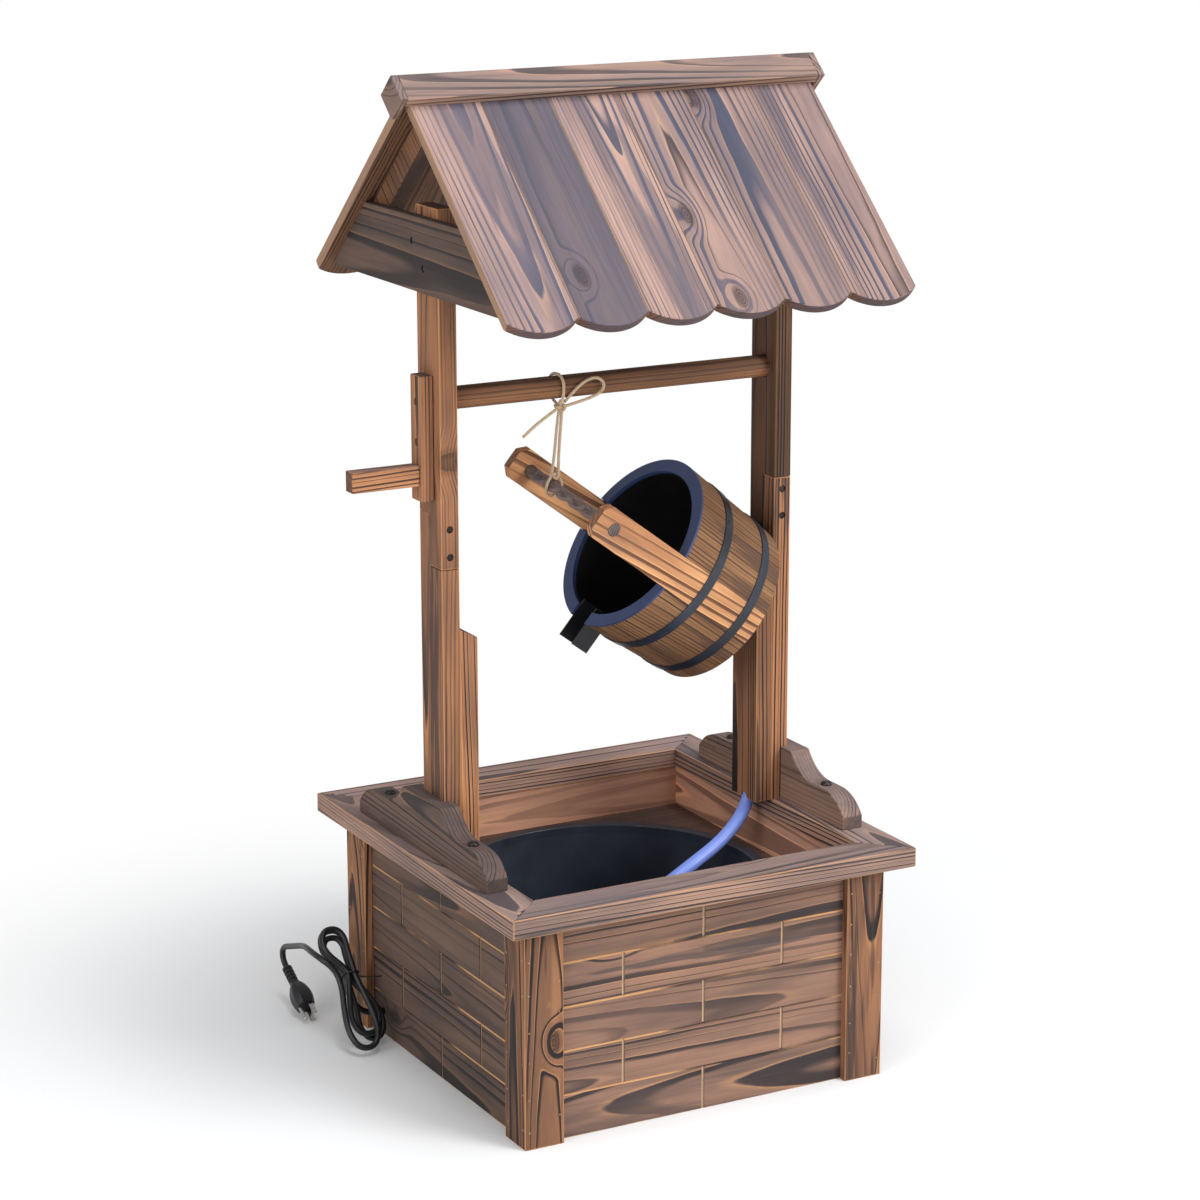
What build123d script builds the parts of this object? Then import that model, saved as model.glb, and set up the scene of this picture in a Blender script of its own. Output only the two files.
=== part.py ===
from build123d import *
import os
from math import acos, asin, atan2, cos, degrees, hypot, pi, radians, sin, tan

# Wishing well fountain: a square box with brick grooves holds a round tub and a small pump. Two lapped
# posts carry a gable roof, a windlass and a tilted bucket that pours back into the tub.
# Frame: X runs along the ridge, -Y is the front, Z is up, and the origin is under the middle of the box.
# All lengths are in millimetres.

# Driving sizes
box_height = 260
rim_half = 260           # middle of the box to the rim's edge
rim_overhang = 26        # rim's edge past the corner trim
rim_width = 51
rim_thickness = 23
post_thickness = 22
post_width = 55
roof_pitch = 42          # degrees
axle_height = 808        # the roof, the windlass and the bucket keep their places round it
axle_diameter = 26
bucket_height = 141
cut_over = 2             # overrun of every cut
fit_gap = 0.3            # between pieces that sit close without touching
board_ease = 0.8         # broken edge of a planed board

# Box
trim_width = 49
trim_thickness = 11
wall_thickness = 11
brick_rows = 5
joint_vee = 1.2
groove_width = 3.6
groove_depth = 2
groove_share = 0.49      # of the wall's half length, in the rows with two grooves
batten = 28
cleat = 20
ledge_width = 80
ledge_thickness = 12
ledge_cord_inset = 60.8  # corner of the walls to the cord's hole, on the diagonal
ledge_cord_hole = 8
ledge_drop = 50          # box top down to the ledge's top

# Tub
tub_gap = 17             # tub's rolled rim to the rim boards' inner edges
tub_lip = 12             # rolled rim, wall to edge
tub_lip_height = 8
tub_draft = 15           # how much smaller the bottom's radius is
tub_wall = 2.5
tub_floor_height = 24

# Posts
post_overhang = 3        # past the rim's inner edge
lap_drop = 189.5         # axle down to the lap's lower end
lap_length = 60
lap_joint = 0.6          # open joint at the butt ends
cover_thickness = 22
cover_drop = 9           # bucket's elbow down to the top of the inner planks
cover_bevel = 26         # degrees
post_top_drop = 128.5    # ridge down to the posts' tops
lap_screw_spacing = 32

# Brackets
bracket_thickness = 26
bracket_housing = 8.5    # depth of the notch that takes the post
bracket_half_length = 168
bracket_height = 65
bracket_toe = 15
bracket_round = 52       # radius of the swell
bracket_hollow = 60      # radius of the hollow
bracket_shelf = 38       # height of the flat that the bolt sits on
bracket_shelf_out = 124
bracket_shelf_in = 94
bracket_crown_half = 49
bolt_out = 109
bolt_head_radius = 6.5
bolt_head_height = 4.5
bolt_shank_radius = 3
bolt_length = 52

# Roof
ridge_rise = 344.5       # axle up to where the two board faces would meet
roof_overhang = 14.5     # roof boards past the gable boards
roof_board_count = 6
roof_board_thickness = 12
roof_slope_length = 327.7
scallop_depth = 16
board_joint = 0.4
cap_width = 36
cap_thickness = 12
cap_overhang = 6         # ridge cap past the roof boards
cap_screw_share = 0.78   # of the cap's width, from the ridge down
cap_plate_thickness = 8.5
cap_screw_inset = 47
gable_drop = 222.5       # ridge down to the gable boards' lower edges
gable_height = 83
gable_thickness = 11.5
gable_end_half = 218
gable_screw_half = 14
rafter_depth = 28
rafter_end_share = 0.9   # of the slope length

# Windlass
axle_gap = 0.5
axle_socket = 13
crank_gap = 0.8
crank_thickness = 15.5
crank_width = 26
crank_top = 29.5         # above the axle line
crank_bottom = 112.5     # below it
handle_drop = 83
handle_length = 82.5
handle_width = 18
handle_depth = 23.5
parking_screw_drop = 46

# Screws
screw_head_radius = 4
screw_head_height = 2.4
screw_shank_radius = 2
screw_slack = 0.2
screw_recess = 1.2
lap_screw_length = 45
crank_screw_length = 40
parking_screw_length = 13
handle_screw_length = 36
roof_screw_length = 26

# Bucket
bucket_rim_radius = 110
bucket_bottom_radius = 102
bucket_drop = 193.5      # axle down to the middle of the bucket's mouth
bucket_lean = 36.5       # degrees, mouth above level
bucket_turn = 2.6        # degrees, mouth towards the front
bucket_roll = -8         # degrees, front ear lower
stave_count = 16
stave_thickness = 13
stave_joint = 0.35
ear_length = 133
ear_width = 42
ear_corner = 9
ear_rod_height = 107
rod_diameter = 15
rod_stand_out = 1.5
hoop_drops = (47, 114)   # rim to the middle of each band
hoop_width = 12
hoop_thickness = 1.2
rivet_radius = 2.6
rivet_height = 1.4
rivet_angle = 140        # degrees round from the low side
bucket_floor_thickness = 10
bucket_floor_inset = 8
floor_bite = 4
liner_wall = 2
liner_flange = 2.5
liner_gap = 0.4
liner_depth_share = 0.86
spout_width = 34
spout_depth = 24
spout_reach = 26
spout_wall = 2

# Pump
pump_half_width = 22
pump_body_length = 38
pump_height = 42
pump_cover_length = 18
pump_edge = 4
pump_front = -26
rotor_radius = 7.5
rotor_length = 26
rotor_gap = 0.5
impeller_radius = 13
impeller_width = 6
vane_thickness = 1.6
vane_count = 6
pump_chamber_length = 9
intake_radius = 5
slider_width = 16
slider_height = 13
slider_thickness = 2.4
slider_travel = 9
slider_tab = 3
rail_lip = 1.5
outlet_radius = 5.8
outlet_length = 22
outlet_bore = 4
cup_radius = 9
cup_height = 7
cup_neck_radius = 3
cup_inset = 11

# Hose
hose_diameter = 16
hose_bore = 12
hose_grip = 14           # how far the hose goes over a nipple
nipple_gap = 0.1
hose_side_gap = 0.5
elbow_foot_radius = 9
elbow_foot_height = 4
elbow_drop = 58.5        # middle of the bucket's mouth down to where the elbow's legs meet

# Mains cord
cord_diameter = 7.4
cord_exit_y = 160
cord_exit_z = 30
cord_hole_slack = 0.8
pump_cord_z = 56
bend = 41                # radius of the cord's round turns inside the box
over_lip = 203           # height of the middle of its turn over the tub's lip
hank_waist = (-262, 173, 78)
hank_rise = (6, 103, 119)
hank_strand_gap = 1.0
hank_layer_gap = 0.9
waist_half = 5
tie_diameter = 1.8
tie_hole_y = 165
tie_hole_z = 72
plug_length = 37
plug_half = 12
plug_corner = 7
relief_length = 28
relief_radius = 6.2
relief_groove = 1
relief_grooves = 4
blade_length = 17
blade_width = 6.3
blade_thickness = 1.5
blade_half_spacing = 6.35
earth_pin_radius = 2.4
earth_pin_length = 20
earth_pin_drop = 11.9

# Twine
twine_diameter = 3.6
twine_lean = 16.4        # how far the turn on the axle is to the left of the turn on the rod
knot_front = 8
knot_left = 2
twine_knot_radius = 5.6
twine_rod_offset = 40    # along the rod, from the bucket's axis towards the back

# Places that follow from the sizes above
rim_top = box_height + rim_thickness
rim_inner = rim_half - rim_width
base_half = rim_half - rim_overhang
tub_rim_radius = rim_inner - tub_gap
ridge_height = axle_height + ridge_rise
post_top = ridge_height - post_top_drop
gable_bottom = ridge_height - gable_drop
lap_low = axle_height - lap_drop
bucket_rim_height = axle_height - bucket_drop
elbow_height = bucket_rim_height - elbow_drop
cover_top = elbow_height - cover_drop
wall_face = base_half - trim_thickness
wall_inner = wall_face - wall_thickness
ledge_top = box_height - ledge_drop
ledge_bottom = ledge_top - ledge_thickness
post_inner = rim_inner - post_overhang
post_outer = post_inner + post_thickness
post_half = post_width / 2
lap_high = lap_low + lap_length
bracket_inner = post_outer - bracket_housing
bracket_outer = bracket_inner + bracket_thickness
bracket_middle = (bracket_inner + bracket_outer) / 2
axle_radius = axle_diameter / 2
roof_half_length = post_outer + gable_thickness + roof_overhang
cap_half_length = roof_half_length + cap_overhang
crank_inner = post_outer + crank_gap
crank_outer = crank_inner + crank_thickness
roof_cos, roof_sin = cos(radians(roof_pitch)), sin(radians(roof_pitch))
roof_tan = roof_sin / roof_cos
roof_under = ridge_height - roof_board_thickness / roof_cos
cap_ridge = ridge_height + cap_thickness / roof_cos

os.makedirs("parts", exist_ok=True)
made = {}


def keep(name, *solids):
    """Label a node and write it: one solid, or a group of separate solids."""
    shape = solids[0] if len(solids) == 1 else Compound(children=list(solids))
    shape.label = name
    made[name] = shape
    export_step(shape, os.path.join("parts", name + ".step"))


def board(x_span, y_span, z_span, ease=board_ease):
    """A planed board between two corners, with its edges broken."""
    with BuildPart() as piece:
        with BuildSketch(Plane.XY.offset(z_span[0])):
            with Locations((sum(x_span) / 2, sum(y_span) / 2)):
                Rectangle(x_span[1] - x_span[0], y_span[1] - y_span[0])
        extrude(amount=z_span[1] - z_span[0])
        if ease:
            chamfer(piece.edges(), length=ease)
    return piece


def outline(plane, points, depth, ease=0):
    """A flat piece cut to a straight-sided outline."""
    with BuildPart() as piece:
        with BuildSketch(plane):
            with BuildLine():
                Polyline(*points, close=True)
            make_face()
        extrude(amount=depth)
        if ease:
            chamfer(piece.edges(), length=ease)
    return piece


def drill(plane, radius, depth):
    """Cut a round hole from a plane's origin, against its normal."""
    with BuildSketch(plane) as hole:
        Circle(radius)
    extrude(hole.sketch, amount=-depth, mode=Mode.SUBTRACT)


def drill_for_screw(plane, length, recess=screw_recess):
    """A clearance hole for a screw whose recessed head sits under a face."""
    drill(plane, screw_shank_radius + screw_slack, length + recess + cut_over)
    drill(plane, screw_head_radius + screw_slack, recess + screw_head_height + screw_slack)


def screw(plane, length, recess=screw_recess):
    """A wood screw with a domed head, its head sunk below the plane."""
    seat = plane.offset(-recess - screw_head_height)
    with BuildPart() as piece:
        with BuildSketch(seat):
            Circle(screw_head_radius)
        extrude(amount=screw_head_height)
        fillet(piece.edges().sort_by(Axis(plane.origin, plane.z_dir))[-1], radius=screw_head_height / 2)
        with BuildSketch(seat):
            Circle(screw_shank_radius)
        extrude(amount=-(length - screw_head_height))
    return piece.part.solid()


def side_plane(turn, distance):
    """A wall's plane: x runs along the wall, y is up and z points outward. 0 is the front wall."""
    middle = Vector(0, -distance, 0).rotate(Axis.Z, turn)
    along = Vector(1, 0, 0).rotate(Axis.Z, turn)
    return Plane(origin=middle, x_dir=along, z_dir=Vector(0, -1, 0).rotate(Axis.Z, turn))


def soft_radii(points, diameter, name):
    """The arc at each corner of a route: 0.45 of the shorter run, over the tangent of half the turn."""
    places = [Vector(p) for p in points]
    radii = []
    for before, here, after in zip(places, places[1:], places[2:]):
        turn = (here - before).get_angle(after - here)
        shorter = min((here - before).length, (after - here).length)
        radii.append(0.45 * shorter / tan(radians(turn) / 2))
    print(f"{name}: least radius {min(radii):.1f} mm, {min(radii) / diameter:.1f} diameters")
    return radii


def tube(points, diameter, name, bore=0):
    """A cord or hose along straight runs joined by tangent arcs."""
    with BuildPart() as piece:
        with BuildLine() as route:
            FilletPolyline(*points, radius=soft_radii(points, diameter, name))
        path = route.wires()[0]
        with BuildSketch(Plane(origin=path @ 0, z_dir=path % 0)):
            Circle(diameter / 2)
            if bore:
                Circle(bore / 2, mode=Mode.SUBTRACT)
        sweep(path=path)
    section = pi * (diameter ** 2 - bore ** 2) / 4
    length = path.length
    print(f"{name}: length {length:.0f} mm, volume over section times length "
          f"{piece.part.volume / (section * length):.4f}")
    return piece.part.solid(), path


# The four walls: five boards each, with brick joints routed into their faces.
def wall_boards(turn, half_length):
    plane = side_plane(turn, wall_inner)
    row_height = box_height / brick_rows
    along = Axis(plane.origin, plane.z_dir)
    boards = []
    for row in range(brick_rows):
        middle = (row + 0.5) * row_height
        shares = (0,) if row % 2 == 0 else (-groove_share, groove_share)
        with BuildPart() as course:
            with BuildSketch(plane):
                with Locations((0, middle)):
                    Rectangle(2 * half_length, row_height)
            extrude(amount=wall_thickness)
            chamfer(course.faces().sort_by(along)[-1].edges().filter_by(Axis(plane.origin, plane.x_dir)),
                    length=joint_vee)
            with BuildSketch(plane.offset(wall_thickness - groove_depth)):
                with Locations(*[(share * wall_inner, middle) for share in shares]):
                    Rectangle(groove_width, row_height + cut_over)
            extrude(amount=groove_depth + cut_over, mode=Mode.SUBTRACT)
            if turn == left_turn and middle - row_height / 2 < cord_exit_z < middle + row_height / 2:
                drill_wall(cord_exit_y, cord_exit_z, cord_diameter / 2 + cord_hole_slack)
            if turn == left_turn and middle - row_height / 2 < tie_hole_z < middle + row_height / 2:
                drill_wall(tie_hole_y, tie_hole_z, tie_diameter / 2 + fit_gap)
        boards.append(course.part.solid())
    return boards


def drill_wall(y, z, radius):
    """A round hole through the left wall."""
    outside = Plane(origin=(-wall_face - cut_over, y, z), x_dir=(0, -1, 0), z_dir=(-1, 0, 0))
    drill(outside, radius, wall_thickness + 2 * cut_over)


front_turn, right_turn, back_turn, left_turn = 0, 90, 180, 270
keep("wall_front", *wall_boards(front_turn, wall_face))
keep("wall_back", *wall_boards(back_turn, wall_face))
keep("wall_left", *wall_boards(left_turn, wall_inner))
keep("wall_right", *wall_boards(right_turn, wall_inner))


# Corner trim: a wide board on the front or back face, and a narrower one behind it on the side.
def corner_trim(side_x, side_y):
    face_x = sorted((side_x * base_half, side_x * (base_half - trim_width)))
    face_y = sorted((side_y * wall_face, side_y * base_half))
    edge_x = sorted((side_x * wall_face, side_x * base_half))
    edge_y = sorted((side_y * wall_face, side_y * (base_half - trim_width)))
    height = (0, box_height)
    return board(face_x, face_y, height).part.solid(), board(edge_x, edge_y, height).part.solid()


for side_name, side_y in (("front", -1), ("back", 1)):
    for hand_name, side_x in (("left", -1), ("right", 1)):
        keep(f"corner_trim_{side_name}_{hand_name}", *corner_trim(side_x, side_y))


# Inside the box: corner battens, cleats between them, and the ledge that the tub hangs on.
def inner_batten(side_x, side_y):
    x = sorted((side_x * wall_inner, side_x * (wall_inner - batten)))
    y = sorted((side_y * wall_inner, side_y * (wall_inner - batten)))
    return board(x, y, (0, ledge_bottom)).part.solid()


def ledge_cleat(turn):
    plane = side_plane(turn, wall_inner - cleat)
    with BuildPart() as piece:
        with BuildSketch(plane):
            with Locations((0, ledge_bottom - cleat / 2)):
                Rectangle(2 * (wall_inner - batten), cleat)
        extrude(amount=cleat)
    return piece.part.solid()


tub_body_radius = tub_rim_radius - tub_lip
ledge_hole = tub_body_radius + fit_gap
ledge_cord_radius = hypot(wall_inner, wall_inner) - ledge_cord_inset


def ledge_board(turn, half_length):
    plane = side_plane(turn, wall_inner)
    middle = Plane.XY.offset(ledge_bottom)
    with BuildPart() as piece:
        with BuildSketch(Plane(origin=plane.origin + Vector(0, 0, ledge_bottom), x_dir=plane.x_dir)):
            with Locations((0, ledge_width / 2)):
                Rectangle(2 * half_length, ledge_width)
        extrude(amount=ledge_thickness)
        with BuildSketch(middle):
            Circle(ledge_hole)
        extrude(amount=ledge_thickness, mode=Mode.SUBTRACT)
        if turn == back_turn:
            with BuildSketch(middle):
                with Locations(diagonal(ledge_cord_radius)[:2]):
                    Circle(ledge_cord_hole)
            extrude(amount=ledge_thickness, mode=Mode.SUBTRACT)
    return piece.part.solids()


def diagonal(radius, z=0):
    """A point over the back left corner's diagonal."""
    return (-radius * sin(pi / 4), radius * sin(pi / 4), z)


frame_pieces = [inner_batten(x, y) for x in (-1, 1) for y in (-1, 1)]
frame_pieces += [ledge_cleat(turn) for turn in (front_turn, right_turn, back_turn, left_turn)]
keep("inner_frame", *frame_pieces)
ledge_pieces = [solid for turn in (front_turn, back_turn) for solid in ledge_board(turn, wall_inner)]
short_half = wall_inner - ledge_width
ledge_pieces += [solid for turn in (right_turn, left_turn) for solid in ledge_board(turn, short_half)]
keep("tub_ledge", *ledge_pieces)

# The tub: a drafted black plastic bowl with a rolled lip that rests on the ledge.
tub_top = ledge_top + tub_lip_height
tub_bottom_radius = tub_body_radius - tub_draft
with BuildPart() as tub:
    with BuildSketch(Plane.XZ):
        with BuildLine():
            Polyline(
                (0, tub_floor_height),
                (tub_bottom_radius, tub_floor_height),
                (tub_body_radius, ledge_top - tub_wall),
                (tub_body_radius, tub_top - tub_wall),
                (tub_rim_radius - tub_wall, tub_top - tub_wall),
                (tub_rim_radius - tub_wall, ledge_top),
                (tub_rim_radius, ledge_top),
                (tub_rim_radius, tub_top),
                (tub_body_radius - tub_wall, tub_top),
                (tub_body_radius - tub_wall, ledge_top - tub_wall),
                (tub_bottom_radius - tub_wall, tub_floor_height + tub_wall),
                (0, tub_floor_height + tub_wall),
                close=True,
            )
        make_face()
    revolve(axis=Axis.Z)
    top_edges = tub.edges().filter_by(GeomType.CIRCLE).group_by(Axis.Z)[-1]
    fillet(top_edges, radius=tub_wall * 0.6)
keep("tub", tub.part.solid())


# The mitred rim on top of the box.
def bolt_plane(side_x, side_y):
    return Plane.XY.offset(rim_top + bracket_shelf).move(
        Location((side_x * bracket_middle, side_y * bolt_out, 0)))


def rim_board(turn):
    mitre = fit_gap / 2
    plane = Plane.XY.offset(box_height).rotated((0, 0, turn))
    points = [
        (-rim_half + mitre, -rim_half),
        (rim_half - mitre, -rim_half),
        (rim_inner - mitre, -rim_inner),
        (-rim_inner + mitre, -rim_inner),
    ]
    with BuildPart() as piece:
        with BuildSketch(plane):
            with BuildLine():
                Polyline(*points, close=True)
            make_face()
        extrude(amount=rim_thickness)
        chamfer(piece.edges().filter_by(Axis.Z, reverse=True), length=board_ease)
        for side_x in (-1, 1):
            if turn == (left_turn if side_x < 0 else right_turn):
                for side_y in (-1, 1):
                    drill(bolt_plane(side_x, side_y), bolt_shank_radius + screw_slack, bolt_length + cut_over)
    return piece.part.solid()


rim_names = (("front", front_turn), ("right", right_turn), ("back", back_turn), ("left", left_turn))
for name, turn in rim_names:
    keep(f"rim_board_{name}", rim_board(turn))


# The two brackets at the posts' feet, sawn to an ogee and housed round the post.
def bracket(side_x):
    plane = Plane(origin=(side_x * bracket_inner, 0, rim_top), x_dir=(0, 1, 0), z_dir=(1, 0, 0))
    with BuildPart() as piece:
        with BuildSketch(plane):
            with BuildLine():
                Line((0, 0), (bracket_half_length, 0))
                Line((bracket_half_length, 0), (bracket_half_length, bracket_toe))
                toe = (bracket_half_length, bracket_toe)
                shelf_out = (bracket_shelf_out, bracket_shelf)
                RadiusArc(toe, shelf_out, -bracket_round)
                Line(shelf_out, (bracket_shelf_in, bracket_shelf))
                crown = (bracket_crown_half, bracket_height)
                RadiusArc((bracket_shelf_in, bracket_shelf), crown, bracket_hollow)
                Line(crown, (0, bracket_height))
                mirror(about=Plane.YZ)
            make_face()
        extrude(amount=side_x * bracket_thickness)
        chamfer(piece.edges(), length=board_ease)
        with BuildSketch(plane):
            with Locations((0, bracket_height / 2)):
                Rectangle(post_width, bracket_height + 2 * cut_over)
        extrude(amount=side_x * bracket_housing, mode=Mode.SUBTRACT)
        for side_y in (-1, 1):
            drill(bolt_plane(side_x, side_y), bolt_shank_radius + screw_slack, bracket_shelf + cut_over)
    return piece.part.solid()


def bracket_bolt(side_x, side_y):
    """A lag bolt with a domed head, seated on the bracket's flat."""
    plane = bolt_plane(side_x, side_y)
    with BuildPart() as piece:
        with BuildSketch(plane):
            Circle(bolt_head_radius)
        extrude(amount=bolt_head_height)
        fillet(piece.edges().sort_by(Axis.Z)[-1], radius=bolt_head_height * 0.8)
        with BuildSketch(plane):
            Circle(bolt_shank_radius)
        extrude(amount=-bolt_length)
    return piece.part.solid()


keep("bracket_left", bracket(-1))
keep("bracket_right", bracket(1))
keep("bracket_bolts", *[bracket_bolt(x, y) for x in (-1, 1) for y in (-1, 1)])


# Posts: a lower and an upper length, half lapped. On the left the upper tongue is in front, on the
# right the lower one is.
def lap_planes(side_x):
    middle = (post_inner + post_outer) / 2
    centre = (lap_low + lap_high) / 2
    return [
        Plane(origin=(side_x * middle, -post_half, centre + shift * lap_screw_spacing / 2), z_dir=(0, -1, 0))
        for shift in (-1, 1)
    ]


def post(side_x, upper):
    x = sorted((side_x * post_inner, side_x * post_outer))
    tongue_in_front = upper == (side_x < 0)
    low, high = (lap_low, post_top) if upper else (rim_top, lap_high)
    with BuildPart() as piece:
        add(board(x, (-post_half, post_half), (low, high)).part)
        cut_low, cut_high = (low, lap_high) if upper else (lap_low, high)
        cut_low -= cut_over if upper else lap_joint
        cut_high += lap_joint if upper else cut_over
        with BuildSketch(Plane.XY.offset(cut_low)):
            with Locations(((x[0] + x[1]) / 2, post_half if tongue_in_front else -post_half)):
                Rectangle(post_thickness + cut_over, post_width)
        extrude(amount=cut_high - cut_low, mode=Mode.SUBTRACT)
        for plane in lap_planes(side_x):
            drill_for_screw(plane, lap_screw_length)
        if upper:
            bore_for_axle(side_x)
            for plane in gable_screw_planes(side_x):
                drill(plane, screw_shank_radius + screw_slack, roof_screw_length + 2 * screw_recess)
    return piece.part.solid()


def bore_for_axle(side_x):
    """The left post is bored through. The right one has a blind socket on its inner face."""
    start = -post_outer - cut_over if side_x < 0 else post_inner - cut_over
    depth = post_thickness + 2 * cut_over if side_x < 0 else axle_socket + cut_over + axle_gap
    drill(Plane(origin=(start, 0, axle_height), z_dir=(-1, 0, 0)), axle_radius + axle_gap, depth)


def gable_screw_planes(side_x):
    outside = side_x * (post_outer + gable_thickness)
    height = gable_bottom + gable_height / 2
    return [
        Plane(origin=(outside, y * gable_screw_half, height + y * gable_screw_half), z_dir=(side_x, 0, 0))
        for y in (-1, 1)
    ]


# The inner planks: each covers its post from the rim to under the bucket. The right one has a channel
# on its back for the hose.
hose_x = post_inner - hose_side_gap - hose_diameter / 2
hose_rise = elbow_height - rim_top
hose_climb = [
    (hose_x * 0.69873, -14, rim_top - 50.5),
    (hose_x * 0.82532, -9, rim_top - 35),
    (hose_x * 0.93165, -3.5, rim_top - 15),
    (hose_x, 0, rim_top + hose_rise * 0.06227),
    (hose_x, fit_gap, rim_top + hose_rise * 0.24542),
    (hose_x, 0, rim_top + hose_rise * 0.4652),
]


def cover_plank(side_x):
    low_top = cover_top - cover_thickness * tan(radians(cover_bevel))
    inner = post_inner - cover_thickness
    points = [(inner, rim_top), (post_inner, rim_top), (post_inner, cover_top), (inner, low_top)]
    plane = Plane(origin=(0, post_half, 0), x_dir=(1, 0, 0), z_dir=(0, -1, 0))
    with BuildPart() as piece:
        with BuildSketch(plane):
            with BuildLine():
                Polyline(*[(side_x * x, z) for x, z in points], close=True)
            make_face()
        extrude(amount=post_width)
        chamfer(piece.edges(), length=board_ease)
        if side_x > 0:
            channel = hose_diameter / 2 + hose_side_gap
            with BuildSketch(Plane.XY.offset(rim_top - cut_over)):
                with Locations((hose_x, 0)):
                    Circle(channel)
                with Locations(((hose_x + post_inner) / 2 + cut_over / 2, 0)):
                    Rectangle(post_inner - hose_x + cut_over, 2 * channel)
            extrude(amount=cover_top - rim_top + 2 * cut_over, mode=Mode.SUBTRACT)
            with BuildLine() as climb:
                FilletPolyline(*hose_climb, radius=soft_radii(hose_climb, hose_diameter, "hose channel"))
            climb_path = climb.wires()[0]
            with BuildSketch(Plane(origin=climb_path @ 0, z_dir=climb_path % 0)):
                Circle(channel)
            sweep(path=climb_path, mode=Mode.SUBTRACT)
    return piece.part.solid()


for hand, side_x in (("left", -1), ("right", 1)):
    keep(f"post_lower_{hand}", post(side_x, upper=False))
    keep(f"post_upper_{hand}", post(side_x, upper=True))
    keep(f"post_cover_{hand}", cover_plank(side_x))
keep("lap_screws", *[screw(plane, lap_screw_length) for x in (-1, 1) for plane in lap_planes(x)])


# Roof: boards laid down each slope, with their lower ends sawn to a scallop.
def slope_plane(side_y, rise=0):
    """A slope's outer face: x along the ridge, y down the slope, z away from the roof."""
    normal = Vector(0, side_y * roof_sin, roof_cos)
    along = Vector(-side_y, 0, 0)
    return Plane(origin=Vector(0, 0, ridge_height) + normal * rise, x_dir=along, z_dir=normal)


board_pitch = 2 * roof_half_length / roof_board_count
roof_start = roof_board_thickness * roof_tan + fit_gap


def cap_screw_planes(side_y):
    place = cap_half_length - cap_screw_inset
    face = slope_plane(side_y, cap_thickness)
    down = cap_width * cap_screw_share - cap_thickness * roof_tan
    return [Plane(origin=face.from_local_coords((x * place, -down, 0)), z_dir=face.z_dir) for x in (-1, 1)]


def roof_board(side_y, number):
    face = slope_plane(side_y)
    middle = (number - (roof_board_count - 1) / 2) * board_pitch
    half = (board_pitch - board_joint) / 2
    with BuildPart() as piece:
        with BuildSketch(face):
            with BuildLine():
                Polyline(
                    (middle - half, -roof_slope_length),
                    (middle - half, -roof_start),
                    (middle + half, -roof_start),
                    (middle + half, -roof_slope_length),
                )
                ThreePointArc(
                    (middle + half, -roof_slope_length),
                    (middle, -roof_slope_length - scallop_depth),
                    (middle - half, -roof_slope_length),
                )
            make_face()
        extrude(amount=-roof_board_thickness)
        chamfer(piece.edges(), length=board_ease)
        for plane in cap_screw_planes(side_y):
            drill(plane, screw_shank_radius + screw_slack, roof_screw_length + cut_over)
    return piece.part.solid()


def cap_board(side_y):
    """One half of the ridge cap, cut plumb where the two meet."""
    lower = cap_width * roof_cos
    points = [
        (side_y * fit_gap / 2, cap_ridge),
        (side_y * lower, cap_ridge - cap_width * roof_sin),
        (side_y * (lower - cap_thickness * roof_sin), cap_ridge - cap_width * roof_sin
         - cap_thickness * roof_cos),
        (side_y * fit_gap / 2, ridge_height),
    ]
    plane = Plane(origin=(-cap_half_length, 0, 0), x_dir=(0, 1, 0), z_dir=(1, 0, 0))
    with BuildPart() as piece:
        add(outline(plane, points, 2 * cap_half_length, board_ease).part)
        for screw_plane in cap_screw_planes(side_y):
            drill_for_screw(screw_plane, roof_screw_length)
    return piece.part.solid()


def cap_plate(side_x):
    """The lozenge that closes one end of the cap."""
    across = cap_width * roof_cos
    fall = cap_width * roof_sin
    points = [(0, cap_ridge), (across, cap_ridge - fall), (0, cap_ridge - 2 * fall), (-across, cap_ridge - fall)]
    plane = Plane(origin=(side_x * cap_half_length, 0, 0), x_dir=(0, 1, 0), z_dir=(1, 0, 0))
    return outline(plane, points, side_x * cap_plate_thickness, board_ease).part.solid()


def gable_board(side_x):
    """The board across the posts' tops, with its ends cut to the roof's slope."""
    top = gable_bottom + gable_height
    top_half = (roof_under - top) / roof_tan - fit_gap
    knee = roof_under - (gable_end_half + fit_gap) * roof_tan
    points = [
        (-gable_end_half, gable_bottom),
        (gable_end_half, gable_bottom),
        (gable_end_half, knee),
        (top_half, top),
        (-top_half, top),
        (-gable_end_half, knee),
    ]
    plane = Plane(origin=(side_x * post_outer, 0, 0), x_dir=(0, 1, 0), z_dir=(1, 0, 0))
    with BuildPart() as piece:
        add(outline(plane, points, side_x * gable_thickness, board_ease).part)
        for screw_plane in gable_screw_planes(side_x):
            drill_for_screw(screw_plane, roof_screw_length)
    return piece.part.solid()


def rafter(side_x, side_y):
    """A rafter under the boards' ends, against the gable board."""
    along = slope_plane(side_y, -roof_board_thickness - fit_gap)
    start = (roof_board_thickness + fit_gap + rafter_depth) * roof_tan + fit_gap
    end = roof_slope_length * rafter_end_share
    x = side_x * (post_inner + post_outer) / 2 * -side_y
    with BuildPart() as piece:
        with BuildSketch(along):
            with Locations((x, -(start + end) / 2)):
                Rectangle(post_thickness, end - start)
        extrude(amount=-rafter_depth)
        chamfer(piece.edges(), length=board_ease)
        for plane in cap_screw_planes(side_y):
            drill(plane, screw_shank_radius + screw_slack, roof_screw_length + cut_over)
    return piece.part.solid()


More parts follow.
